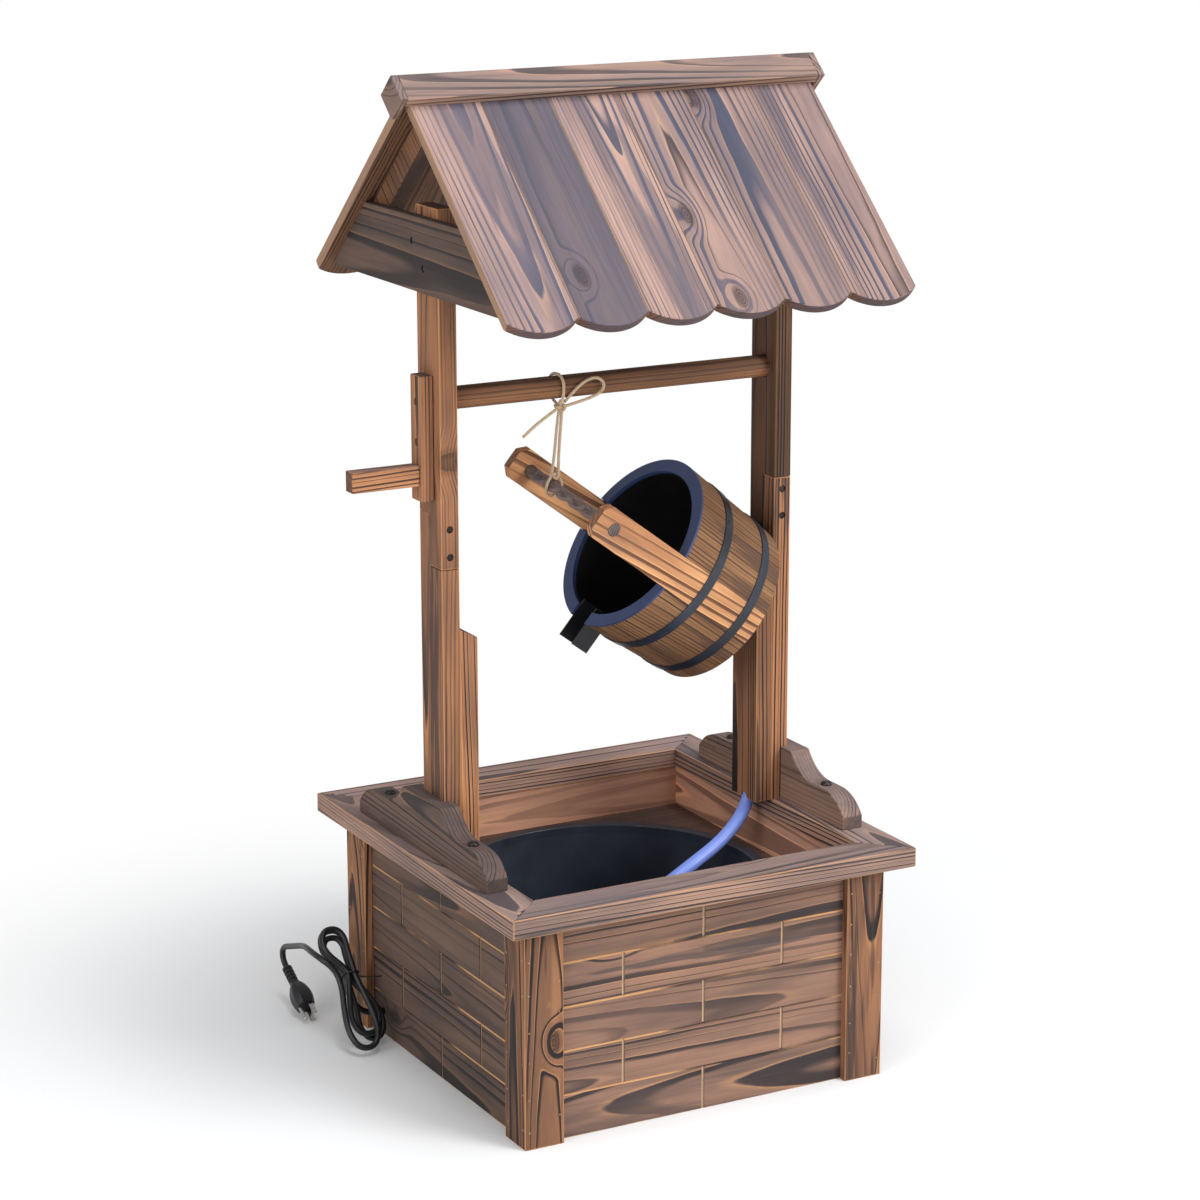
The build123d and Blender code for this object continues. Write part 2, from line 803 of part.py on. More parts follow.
for side_name, side_y in (("front", -1), ("back", 1)):
    keep(f"roof_boards_{side_name}", *[roof_board(side_y, n) for n in range(roof_board_count)])
    keep(f"ridge_cap_{side_name}", cap_board(side_y))
keep("cap_end_plates", cap_plate(-1), cap_plate(1))
keep("gable_board_left", gable_board(-1))
keep("gable_board_right", gable_board(1))
roof_screw_places = [plane for y in (-1, 1) for plane in cap_screw_planes(y)]
roof_screw_places += [plane for x in (-1, 1) for plane in gable_screw_planes(x)]
keep("roof_screws", *[screw(plane, roof_screw_length) for plane in roof_screw_places])
keep("rafters", *[rafter(x, y) for x in (-1, 1) for y in (-1, 1)])

# Windlass: a dowel through the left post, with a crank on its end.
crank_screw_plane = Plane(origin=(-crank_outer, 0, axle_height), z_dir=(-1, 0, 0))
parking_plane = Plane(origin=(-crank_outer, 0, axle_height - parking_screw_drop), z_dir=(-1, 0, 0))
handle_screw_plane = Plane(origin=(-crank_inner, 0, axle_height - handle_drop), z_dir=(1, 0, 0))

with BuildPart() as axle:
    with BuildSketch(Plane(origin=(-crank_inner, 0, axle_height), z_dir=(1, 0, 0))):
        Circle(axle_radius)
    extrude(amount=crank_inner + post_inner + axle_socket)
    chamfer(axle.edges(), length=board_ease)
    drill(crank_screw_plane, screw_shank_radius + screw_slack, crank_screw_length + screw_recess + cut_over)
keep("windlass_axle", axle.part.solid())

with BuildPart() as crank:
    crank_x = (-crank_outer, -crank_inner)
    crank_z = (axle_height - crank_bottom, axle_height + crank_top)
    add(board(crank_x, (-crank_width / 2, crank_width / 2), crank_z).part)
    drill_for_screw(crank_screw_plane, crank_screw_length)
    drill_for_screw(parking_plane, parking_screw_length)
    drill_for_screw(handle_screw_plane, handle_screw_length)
keep("crank_arm", crank.part.solid())

with BuildPart() as handle:
    handle_x = (-crank_outer - handle_length, -crank_outer)
    handle_z = (axle_height - handle_drop - handle_depth / 2, axle_height - handle_drop + handle_depth / 2)
    add(board(handle_x, (-handle_width / 2, handle_width / 2), handle_z).part)
    drill(handle_screw_plane, screw_shank_radius + screw_slack, handle_screw_length + screw_recess + cut_over)
keep("crank_handle", handle.part.solid())
keep(
    "crank_screws",
    screw(crank_screw_plane, crank_screw_length),
    screw(parking_plane, parking_screw_length),
    screw(handle_screw_plane, handle_screw_length),
)

# Bucket. Its own frame: z along the axis towards the mouth, x up the slope of the mouth, y to the back.
lean, aside, roll = radians(bucket_lean), radians(bucket_turn), radians(bucket_roll)
mouth = Vector(-cos(lean) * cos(aside), -cos(lean) * sin(aside), sin(lean))
level = mouth.cross(Vector(0, 0, 1)).normalized()
uphill = level.cross(mouth)
bucket_up = uphill * cos(roll) + level * sin(roll)
bucket_reach = -mouth.X * bucket_height + bucket_up.X * bucket_bottom_radius
bucket_x = post_inner - fit_gap - bucket_reach
bucket = Plane(origin=(bucket_x, 0, bucket_rim_height), x_dir=bucket_up, z_dir=mouth)
bucket_axis = Axis(bucket.origin, bucket.z_dir)
taper = (bucket_rim_radius - bucket_bottom_radius) / bucket_height
stave_angle = 360 / stave_count


def bucket_radius(z):
    """Outside radius of the staves at a height along the axis. The rim is at 0."""
    return bucket_rim_radius + taper * z


def bucket_sector(turn):
    """The plane through the bucket's axis at an angle: x is outward and y is along the axis."""
    outward = bucket.x_dir.rotate(Axis((0, 0, 0), bucket.z_dir), turn)
    return Plane(origin=bucket.origin, x_dir=outward, z_dir=outward.cross(bucket.z_dir))


def stave_profile(top):
    """Section of a stave from the bucket's bottom edge up to a height."""
    low = -bucket_height
    return [
        (bucket_radius(low) - stave_thickness, low),
        (bucket_radius(low), low),
        (bucket_radius(top), top),
        (bucket_radius(top) - stave_thickness, top),
    ]


def turned(points, turn, angle=360):
    """A solid of revolution about the bucket's axis, centred on an angle."""
    with BuildPart() as piece:
        with BuildSketch(bucket_sector(turn - angle / 2)):
            with BuildLine():
                Polyline(*points, close=True)
            make_face()
        revolve(axis=bucket_axis, revolution_arc=angle)
    return piece


def cut_floor_groove():
    """The croze: a groove inside the staves that the bucket's bottom sits in."""
    low = -bucket_height + bucket_floor_inset
    radius = bucket_radius(low) - stave_thickness + floor_bite
    with BuildSketch(bucket.offset(low - fit_gap)) as groove:
        Circle(radius + fit_gap)
    extrude(groove.sketch, amount=bucket_floor_thickness + 2 * fit_gap, mode=Mode.SUBTRACT)


ear_turns = (90, 270)
joint_angle = degrees(stave_joint / bucket_rim_radius)
staves = []
for number in range(stave_count):
    turn = number * stave_angle
    if turn in ear_turns:
        continue
    with BuildPart() as stave:
        add(turned(stave_profile(0), turn, stave_angle - joint_angle).part)
        cut_floor_groove()
        if turn == 180:
            with BuildSketch(bucket.offset(-spout_depth - fit_gap)):
                with Locations((-bucket_rim_radius, 0)):
                    Rectangle(2 * bucket_rim_radius, spout_width + 2 * fit_gap)
            extrude(amount=spout_depth + cut_over, mode=Mode.SUBTRACT)
    staves.append(stave.part.solid())
keep("bucket_staves", *staves)


def bucket_ear(turn):
    """A long stave that stands up past the rim and holds one end of the rod."""
    side = 1 if turn == 90 else -1
    with BuildPart() as piece:
        add(turned(stave_profile(ear_length), turn, stave_angle - joint_angle).part)
        face = bucket_sector(turn)
        with BuildSketch(Plane(origin=face.origin, x_dir=bucket.x_dir, z_dir=-bucket.y_dir)):
            with BuildLine():
                half = ear_width / 2
                Polyline(
                    (-half, -bucket_height),
                    (half, -bucket_height),
                    (half, ear_length - ear_corner),
                    (half - ear_corner, ear_length),
                    (ear_corner - half, ear_length),
                    (-half, ear_length - ear_corner),
                    close=True,
                )
            make_face()
        extrude(amount=2 * bucket_rim_radius, both=True, mode=Mode.INTERSECT)
        cut_floor_groove()
        with BuildSketch(Plane(origin=rod_middle, z_dir=bucket.y_dir)):
            Circle(rod_diameter / 2 + fit_gap)
        extrude(amount=side * 2 * bucket_rim_radius, mode=Mode.SUBTRACT)
    return piece.part.solid()


rod_middle = bucket.from_local_coords((0, 0, ear_rod_height))
rod_half = bucket_radius(ear_rod_height) + rod_stand_out
keep("bucket_ears", *[bucket_ear(turn) for turn in ear_turns])

with BuildPart() as rod:
    with BuildSketch(Plane(origin=rod_middle, z_dir=bucket.y_dir)):
        Circle(rod_diameter / 2)
    extrude(amount=rod_half, both=True)
    chamfer(rod.edges().filter_by(GeomType.CIRCLE), length=board_ease)
keep("bucket_rod", rod.part.solid())


def hoop(drop):
    """A flat band round the staves, with the same taper."""
    low, high = -drop - hoop_width / 2, -drop + hoop_width / 2
    gap = fit_gap / 2
    points = [
        (bucket_radius(low) + gap, low),
        (bucket_radius(low) + gap + hoop_thickness, low),
        (bucket_radius(high) + gap + hoop_thickness, high),
        (bucket_radius(high) + gap, high),
    ]
    return turned(points, 0).part.solid()


def rivet(drop):
    """The dome of the rivet that closes a band."""
    plane = bucket_sector(180 + rivet_angle)
    outside = bucket_radius(-drop) + fit_gap / 2 + hoop_thickness
    base = Plane(origin=plane.from_local_coords((outside, -drop, 0)), z_dir=plane.x_dir)
    with BuildPart() as piece:
        with BuildSketch(base.offset(-hoop_thickness / 3)):
            Circle(rivet_radius)
        extrude(amount=rivet_height)
        fillet(piece.edges().sort_by(Axis(base.origin, base.z_dir))[-1], radius=rivet_height * 0.6)
    return piece.part


bands = []
for drop in hoop_drops:
    with BuildPart() as band:
        add(hoop(drop))
        add(rivet(drop))
    bands.append(band.part.solid())
keep("bucket_hoops", *bands)

elbow_corner = Vector(hose_x, 0, elbow_height)
bucket_under = bucket.offset(-bucket_height)
elbow_to_floor = (bucket_under.origin - elbow_corner).dot(mouth) + bucket_floor_inset
elbow_in_bucket = elbow_corner + mouth * elbow_to_floor

with BuildPart() as floor:
    low = -bucket_height + bucket_floor_inset
    with BuildSketch(bucket.offset(low)):
        Circle(bucket_radius(low) - stave_thickness + floor_bite)
    extrude(amount=bucket_floor_thickness)
    drill(Plane(origin=elbow_in_bucket + mouth * 2 * bucket_floor_thickness, z_dir=mouth),
          outlet_radius + fit_gap, 3 * bucket_floor_thickness)
keep("bucket_floor", floor.part.solid())

liner_bottom = -bucket_height + bucket_floor_inset + bucket_floor_thickness + liner_gap
liner_top_radius = bucket_rim_radius - stave_thickness - liner_gap
ear_inside = ((bucket_rim_radius - stave_thickness) ** 2 - (ear_width / 2) ** 2) ** 0.5
ear_notch = bucket_rim_radius - ear_inside + 2 * liner_gap
liner_low_radius = bucket_radius(liner_bottom) - stave_thickness - liner_gap
with BuildPart() as liner:
    add(turned(
        [
            (0, liner_bottom),
            (liner_low_radius, liner_bottom),
            (liner_top_radius, fit_gap / 2),
            (bucket_rim_radius, fit_gap / 2),
            (bucket_rim_radius, fit_gap / 2 + liner_flange),
            (liner_top_radius - liner_wall, fit_gap / 2 + liner_flange),
            (liner_low_radius - liner_wall, liner_bottom + liner_wall),
            (0, liner_bottom + liner_wall),
        ], 0).part)
    with BuildSketch(bucket.offset(0)):
        with Locations((0, bucket_rim_radius), (0, -bucket_rim_radius)):
            Rectangle(ear_width + 2 * liner_gap, 2 * ear_notch)
    extrude(amount=liner_flange + cut_over, mode=Mode.SUBTRACT)
    with BuildSketch(bucket.offset(-spout_depth - fit_gap)):
        with Locations((-bucket_rim_radius, 0)):
            Rectangle(2 * stave_thickness + 2 * spout_reach, spout_width + 2 * fit_gap)
    extrude(amount=spout_depth + 2 * cut_over + liner_flange, mode=Mode.SUBTRACT)
    drill(Plane(origin=elbow_in_bucket + mouth * 2 * bucket_floor_thickness, z_dir=mouth),
          outlet_radius + fit_gap, 3 * bucket_floor_thickness)
keep("bucket_liner", liner.part.solid())

with BuildPart() as spout:
    spout_inner_end = bucket_rim_radius - 2 * stave_thickness + spout_wall
    spout_span = spout_reach + bucket_rim_radius - spout_inner_end
    with BuildSketch(bucket.offset(-spout_depth)):
        with Locations((-spout_inner_end - spout_span / 2, 0)):
            Rectangle(spout_span, spout_width)
    extrude(amount=spout_depth)
    with BuildSketch(bucket.offset(-spout_depth + spout_wall)):
        with Locations((-spout_inner_end - spout_span / 2, 0)):
            Rectangle(spout_span + 2 * cut_over, spout_width - 2 * spout_wall)
    extrude(amount=spout_depth, mode=Mode.SUBTRACT)
keep("bucket_spout", spout.part.solid())

# Pump: a body, a cover with the intake and outlet, an impeller and a slider that sets the flow.
pump_floor = tub_floor_height + tub_wall + cup_height
pump_middle = pump_floor + pump_height / 2
pump_split = pump_front + pump_cover_length
pump_back = pump_split + pump_body_length
front_facing = Plane(origin=(0, pump_split, pump_middle), x_dir=(1, 0, 0), z_dir=(0, -1, 0))

with BuildPart() as pump_body:
    with BuildSketch(front_facing):
        RectangleRounded(2 * pump_half_width, pump_height, pump_edge)
    extrude(amount=-pump_body_length)
    chamfer(pump_body.faces().sort_by(Axis.Y)[-1].edges(), length=pump_edge / 2)
    drill(front_facing, rotor_radius + rotor_gap, rotor_length + rotor_gap)
    with BuildSketch(Plane.XZ.offset(-pump_back)):
        with Locations((0, pump_cord_z)):
            Circle(cord_diameter / 2 + fit_gap)
    extrude(amount=relief_radius, mode=Mode.SUBTRACT)
keep("pump_body", pump_body.part.solid())

pump_face = front_facing.offset(pump_cover_length)
slider_guide = slider_height / 2 + fit_gap
with BuildPart() as pump_cover:
    with BuildSketch(front_facing):
        RectangleRounded(2 * pump_half_width, pump_height, pump_edge)
    extrude(amount=pump_cover_length)
    drill(front_facing.offset(pump_chamber_length), impeller_radius + 2 * rotor_gap,
          pump_chamber_length + cut_over)
    drill(pump_face.offset(cut_over), intake_radius, pump_cover_length + cut_over)
    rail_wide = slider_width + slider_travel
    for side in (-1, 1):
        with BuildSketch(pump_face):
            with Locations((0, side * (slider_guide + rail_lip / 2))):
                Rectangle(rail_wide, rail_lip)
        extrude(amount=slider_thickness + fit_gap + rail_lip)
        with BuildSketch(pump_face.offset(slider_thickness + 2 * fit_gap)):
            with Locations((0, side * slider_guide)):
                Rectangle(rail_wide, 2 * rail_lip)
        extrude(amount=rail_lip - fit_gap)
    outlet_y = pump_split - pump_chamber_length / 2 - rail_lip
    with BuildSketch(Plane.XY.offset(pump_floor + pump_height)):
        with Locations((0, outlet_y)):
            Circle(outlet_radius)
    extrude(amount=outlet_length)
    with BuildSketch(Plane.XY.offset(pump_middle + impeller_radius)):
        with Locations((0, outlet_y)):
            Circle(outlet_bore)
    extrude(amount=pump_height, mode=Mode.SUBTRACT)
keep("pump_cover", pump_cover.part.solid())

with BuildPart() as impeller:
    hub = front_facing.offset(rotor_gap)
    with BuildSketch(hub):
        Circle(rotor_radius)
    extrude(amount=-(rotor_length - rotor_gap))
    with BuildSketch(hub):
        Circle(impeller_radius)
    extrude(amount=vane_thickness)
    with BuildSketch(hub):
        Circle(intake_radius * 0.6)
        with PolarLocations(impeller_radius / 2, vane_count):
            Rectangle(impeller_radius - 2 * rotor_gap, vane_thickness)
    extrude(amount=impeller_width)
keep("pump_impeller", impeller.part.solid())
print("impeller axis height", pump_middle)

with BuildPart() as slider:
    closed_x = -slider_travel / 2
    with BuildSketch(pump_face.offset(fit_gap)):
        with Locations((closed_x, 0)):
            Rectangle(slider_width, slider_height)
    extrude(amount=slider_thickness)
    with BuildSketch(pump_face.offset(fit_gap + slider_thickness)):
        with Locations((closed_x, 0)):
            Rectangle(slider_tab, slider_height - 4 * rail_lip)
    extrude(amount=slider_tab)
keep("pump_flow_slider", slider.part.solid())


def suction_cup(side_x, side_y):
    """A soft foot under a corner of the pump."""
    centre_y = (pump_split + pump_back) / 2
    x = side_x * (pump_half_width - cup_inset)
    y = centre_y + side_y * (pump_body_length / 2 - cup_inset)
    floor_z = tub_floor_height + tub_wall + fit_gap / 2
    with BuildPart() as piece:
        with BuildSketch(Plane.XZ):
            with BuildLine():
                Polyline(
                    (0, floor_z),
                    (cup_radius, floor_z),
                    (cup_neck_radius, floor_z + cup_height * 0.55),
                    (cup_neck_radius, pump_floor - fit_gap / 2),
                    (0, pump_floor - fit_gap / 2),
                    close=True,
                )
            make_face()
        revolve(axis=Axis.Z)
    return piece.part.solid().moved(Location((x, y, 0)))


keep("pump_suction_cups", *[suction_cup(x, y) for x in (-1, 1) for y in (-1, 1)])

# Hose: from the pump's outlet, over the tub's lip and up the channel in the right cover plank.
hose_route = [
    (0, outlet_y, pump_floor + pump_height + outlet_length - hose_grip),
    (0, outlet_y, 110),
    (hose_x * 0.04557, -16, 140),
    (hose_x * 0.1519, -19, 170),
    (hose_x * 0.3038, -21, 194),
    (hose_x * 0.44557, -20, rim_top - 74),
    (hose_x * 0.57722, -17.5, rim_top - 61.5),
    *hose_climb,
    (hose_x, fit_gap, rim_top + hose_rise * 0.68498),
    (hose_x, 0, elbow_height - outlet_length + hose_grip),
]
hose, _ = tube(hose_route, hose_diameter, "hose", hose_bore)
keep("hose", hose)


def nipple(start, direction, length):
    """A round leg of the elbow, from a point along a direction."""
    with BuildSketch(Plane(origin=start, z_dir=direction)) as section:
        Circle(outlet_radius)
    extrude(section.sketch, amount=length)


with BuildPart() as elbow:
    nipple(elbow_corner, Vector(0, 0, -1), outlet_length)
    nipple(elbow_corner, mouth, elbow_to_floor + bucket_floor_thickness + liner_gap)
    with Locations(elbow_corner):
        Sphere(radius=outlet_radius)
    with BuildSketch(Plane(origin=elbow_in_bucket - mouth * fit_gap, z_dir=-mouth)):
        Circle(elbow_foot_radius)
    extrude(amount=elbow_foot_height)
    with BuildSketch(Plane(origin=elbow_corner - Vector(0, 0, outlet_length + cut_over), z_dir=(0, 0, 1))):
        Circle(outlet_bore)
    extrude(amount=outlet_length + cut_over, mode=Mode.SUBTRACT)
    with BuildSketch(Plane(origin=elbow_corner, z_dir=mouth)):
        Circle(outlet_bore)
    extrude(amount=elbow_to_floor + 2 * bucket_floor_thickness, mode=Mode.SUBTRACT)
    with Locations(elbow_corner):
        Sphere(radius=outlet_bore, mode=Mode.SUBTRACT)
keep("hose_elbow", elbow.part.solid())

# Mains cord inside the box: up from the pump, over the tub's lip, through the ledge and out at the left.
lip_middle = ledge_cord_radius - bend
half_step = bend * tan(radians(22.5))
exit_step = bend * tan(radians(15))
exit_x = -wall_inner + 1
down_x = exit_x + bend
inside_route = [
    (0, pump_back - relief_radius + fit_gap, pump_cord_z),
    (0, 66, pump_cord_z),
    (-24, 98, 50),
    (-64, 111, 60),
    (-98, 112, 92),
    (-110, 111, 134),
    (-113, 109.5, 172),
    diagonal(lip_middle - bend, over_lip + half_step),
    diagonal(lip_middle - half_step, over_lip + bend),
    diagonal(lip_middle + half_step, over_lip + bend),
    diagonal(lip_middle + bend, over_lip + half_step),
    (-169.5, 168, 172),
    (down_x, 164, 134),
    (down_x, 162, 98),
    (down_x, cord_exit_y + 1, cord_exit_z + bend - exit_step),
    (down_x - bend + 2 * exit_step * cos(radians(30)) + exit_step, cord_exit_y,
     cord_exit_z + 2 * exit_step * sin(radians(30))),
    (exit_x + exit_step, cord_exit_y, cord_exit_z),
    (-wall_face, cord_exit_y, cord_exit_z),
]
inside_cord, inside_line = tube(inside_route, cord_diameter, "power_cord_inside")
keep("power_cord_inside", inside_cord)

# The cord outside is one length: from the wall into a hank of three turns, tied at its waist, and on to
# the plug. Hank frame: y is its length, x points to the wall and z to the front.
rise = Vector(*hank_rise).normalized()
to_wall = (Vector(1, 0, 0) - rise * rise.X).normalized()
hank = Plane(origin=hank_waist, x_dir=to_wall, z_dir=to_wall.cross(rise))
strand = (cord_diameter + hank_strand_gap) / 2
layer = cord_diameter + hank_layer_gap
lobe_shares = ((0.93, 0.5), (1, 0.8), (0.52, 1), (-0.52, 1.005), (-1, 0.79), (-0.93, 0.5))


def lobe(middle, half, height, depth_in, depth_out, side):
    """Corners of one end of the hank: out on one side, round, and back on the other."""
    points = [(middle + side * half * x, height * y, depth_in) for x, y in lobe_shares]
    points[-1] = (*points[-1][:2], (depth_in + depth_out) / 2)
    return points


# Middle, half width and height of the lobes, from the back layer to the front one
top_lobes = ((-5.5, 16.5, 62), (-10, 13, 50), (-11, 15, 58))
bottom_lobes = ((15, 16, -80), (6, 18, -76), (-4, 19, -96))
lead_share = ((-17.5, -22, 10), (-19, -3, 13), (-26, 10, 15))
lead = (
    (-297, 178, 104),
    (-298, 202, 105),
    (-293.5, 227, 101.5),
    (-288, 251, 95),
    (-286.5, 274, 87),
    (-285.5, 295, 79.5),
    (-285, 316.1, 72.3),
    (-285.2, 320.9, 62.4),
    (-285, 317.6, 51.9),
)
plug_start = Vector(-285, 308, 46.6)
plug_axis = (plug_start - Vector(*lead[-1])).normalized()

hank_points = [(-strand, -waist_half, -layer), (-strand, waist_half, -layer)]
for number, (top, bottom) in enumerate(zip(top_lobes, bottom_lobes)):
    depth = (number - 1) * layer
    last = number == len(bottom_lobes) - 1
    hank_points += lobe(*top, depth, depth, -1)
    hank_points += [(strand, waist_half, depth), (strand, -waist_half, depth)]
    hank_points += lobe(*bottom, depth, depth if last else depth + layer, 1)
    waist = [(-strand, -waist_half, depth + layer), (-strand, waist_half, depth + layer)]
    hank_points += lead_share if last else waist
outside_route = [Vector(-wall_face - fit_gap, cord_exit_y, cord_exit_z)]
outside_route += [Vector(-243, 159, 29.5), Vector(-259, 163, 41), Vector(-265, 170.5, 57)]
outside_route += [hank.from_local_coords(point) for point in hank_points]
outside_route += [Vector(*point) for point in lead] + [plug_start]
outside_cord, outside_line = tube(outside_route, cord_diameter, "power_cord_outside")
keep("power_cord_outside", outside_cord)


def least_self_gap(path, diameter, name):
    """Print how near the cord comes to itself, away from its own bends."""
    count = int(path.length / (diameter / 4))
    places = [path.position_at(i / count) for i in range(count + 1)]
    apart = 16
    nearest = min((a - b).length for i, a in enumerate(places) for b in places[i + apart:])
    print(f"{name}: least gap to itself {nearest - diameter:.2f} mm, "
          f"lowest point {min(place.Z for place in places) - diameter / 2:.2f} mm")


least_self_gap(outside_line, cord_diameter, "power_cord_outside")

# The wire tie: from inside the wall, out to the hank, and once round its waist.
tie_reach = cord_diameter / 2 + tie_diameter / 2 + 4 * fit_gap
tie_left, tie_right = -strand - tie_reach, strand + tie_reach
tie_front = layer + tie_reach
tie_turn = (
    (tie_right, -1.3, -tie_front / 3),
    (tie_right, -1.2, tie_front),
    (tie_left, -0.4, tie_front),
    (tie_left, 0.4, -tie_front),
    (tie_right, 1.4, -tie_front),
    (tie_right, 1.9, tie_front / 2),
)
tie_route = [Vector(x, tie_hole_y, tie_hole_z) for x in (-wall_inner + cut_over, -wall_face - cut_over)]
tie_route += [hank.from_local_coords(point) for point in tie_turn]
tie_radii = soft_radii(tie_route, tie_diameter, "cord_tie")
tie_radii = [min(radius, tie_reach) for radius in tie_radii]
with BuildPart() as tie:
    with BuildLine() as tie_line:
        FilletPolyline(*tie_route, radius=tie_radii)
    tie_path = tie_line.wires()[0]
    with BuildSketch(Plane(origin=tie_path @ 0, z_dir=tie_path % 0)):
        Circle(tie_diameter / 2)
    sweep(path=tie_path)
keep("cord_tie", tie.part.solid())
least_self_gap(tie_path, tie_diameter, "cord_tie")

# Plug: a ribbed strain relief, a body that widens and two blades with an earth pin.
plug = Plane(origin=plug_start, x_dir=(1, 0, 0), z_dir=plug_axis)
plug_sections = ((0, 0.55), (0.45, 1), (1, 0.86))
with BuildPart() as plug_body:
    for height, share in plug_sections:
        with BuildSketch(plug.offset(relief_length + height * plug_length)):
            size = 2 * plug_half * share
            RectangleRounded(size, size, plug_corner * share)
    loft()
    with BuildSketch(plug.offset(fit_gap)):
        Circle(relief_radius)
    extrude(amount=relief_length)
    relief_step = relief_length / (relief_grooves + 1)
    for number in range(relief_grooves):
        with BuildSketch(plug.offset((number + 0.5) * relief_step + relief_groove)):
            Circle(relief_radius)
            Circle(relief_radius - relief_groove, mode=Mode.SUBTRACT)
        extrude(amount=2 * relief_groove, mode=Mode.SUBTRACT)
keep("plug_body", plug_body.part.solid())

plug_face = plug.offset(relief_length + plug_length + fit_gap / 3)
blade_x = earth_pin_drop / 3
blades = []
for side in (-1, 1):
    with BuildPart() as blade:
        with BuildSketch(plug_face):
            with Locations((blade_x, side * blade_half_spacing)):
                Rectangle(blade_width, blade_thickness)
        extrude(amount=blade_length)
    blades.append(blade.part.solid())
with BuildPart() as earth_pin:
    with BuildSketch(plug_face):
        with Locations((blade_x - earth_pin_drop, 0)):
            Circle(earth_pin_radius)
    extrude(amount=earth_pin_length)
    fillet(earth_pin.edges().sort_by(Axis(plug.origin, plug.z_dir))[-1], radius=earth_pin_radius * 0.8)
keep("plug_blades", *blades, earth_pin.part.solid())

# Twine: down from the axle, round the bucket's rod, back up and over the axle, with a knot at each end.
twine_reach = axle_radius + twine_diameter / 2 + fit_gap
rod_reach = rod_diameter / 2 + twine_diameter / 2 + 2 * fit_gap
tied = rod_middle + bucket.y_dir * twine_rod_offset
across = bucket.y_dir.cross(Vector(0, 0, 1)).normalized()
upward = across.cross(bucket.y_dir)
twine_axle_x = tied.X - twine_lean
axle_knot = Vector(twine_axle_x + knot_left, -knot_front, axle_height - twine_reach - 1.5 * twine_diameter)
rod_knot = tied + upward * (rod_reach + 2 * twine_diameter)
twine_side = twine_diameter / 2 + 2 * fit_gap


def round_axle(x, y, z):
    """A corner of the twine's turn over the axle."""
    return Vector(twine_axle_x + x, y * twine_reach, axle_height + z * twine_reach)


def round_rod(side, up):
    """A corner of the twine's turn under the rod."""
    return tied + across * side + upward * up


sling_route = [
    axle_knot + across * twine_side,
    rod_knot + across * twine_side,
    round_rod(rod_reach, rod_reach * 0.6),
    round_rod(rod_reach, -rod_reach),
    round_rod(-rod_reach, -rod_reach),
    round_rod(-rod_reach, rod_reach * 0.6),
    rod_knot - across * twine_side,
    axle_knot - across * twine_side,
    round_axle(2.5, -1, -0.8),
    round_axle(3, -1, 1),
    round_axle(0, 1, 1),
    round_axle(-1, 1, -0.9),
    axle_knot + Vector(0, 1.25 * twine_diameter, 0),
]
sling_limits = [twine_diameter * 2] * 2 + [rod_reach] * 2 + [twine_diameter * 2] * 4 + [twine_reach] * 3
sling_soft = soft_radii(sling_route, twine_diameter, "twine_sling")
sling_radii = [min(pair) for pair in zip(sling_soft, sling_limits)]
with BuildPart() as sling:
    with BuildLine() as sling_line:
        FilletPolyline(*sling_route, radius=sling_radii)
    sling_path = sling_line.wires()[0]
    with BuildSketch(Plane(origin=sling_path @ 0, z_dir=sling_path % 0)):
        Circle(twine_diameter / 2)
    sweep(path=sling_path)
    print(f"twine_sling: length {sling_path.length:.0f} mm, volume over section times length "
          f"{sling.part.volume / (pi * twine_diameter ** 2 / 4 * sling_path.length):.4f}")
knot_tilt = (30, 20, 0)
knots = []
for place in (axle_knot, rod_knot):
    with BuildPart() as knot:
        with Locations(Location(place, knot_tilt)):
            Sphere(radius=twine_knot_radius)
        add(sling.part, mode=Mode.SUBTRACT)
    knots.append(knot.part.solids().sort_by(SortBy.VOLUME)[-1])
keep("twine_sling", sling.part.solid(), *knots)
knot_edge = twine_knot_radius + fit_gap

bow_route = [
    axle_knot + Vector(1, -0.45, 1).normalized() * knot_edge,
    axle_knot + Vector(12, -10, 17.5),
    axle_knot + Vector(25, -10.5, 27.5),
    axle_knot + Vector(40, -11, 32),
    axle_knot + Vector(51, -11, 24.5),
    axle_knot + Vector(49, -10.5, 14),
    axle_knot + Vector(34, -10, 8),
    axle_knot + Vector(17, -9, 4),
    axle_knot + Vector(1, -0.7, 0).normalized() * knot_edge,
]
bow, _ = tube(bow_route, twine_diameter, "twine_bow")
keep("twine_bow", bow)
tail_route = [
    axle_knot + Vector(-1, -0.6, -0.4).normalized() * knot_edge,
    axle_knot + Vector(-23, -5.5, -11),
    axle_knot + Vector(-37, -5, -20),
    axle_knot + Vector(-50, -4, -31),
]
tail, _ = tube(tail_route, twine_diameter, "twine_tail")
keep("twine_tail", tail)
print(len(made), "nodes")
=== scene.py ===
# %% [markdown]
# # Wishing well fountain
# This is a wooden wishing well for a garden: a square box with a tub and a pump, two posts, a gabled
# roof, a windlass with a crank, and a tilted bucket that pours. Its solid parts come from CAD as a
# fixed frame in metres: X along the ridge, -Y the front, Z up. They could be modelled again here, but
# their shapes are right, so they only get their finish. What is soft or twisted is made new.

# %% Load the frame
import math
import random

import bmesh
import bpy
from mathutils import Matrix, Vector


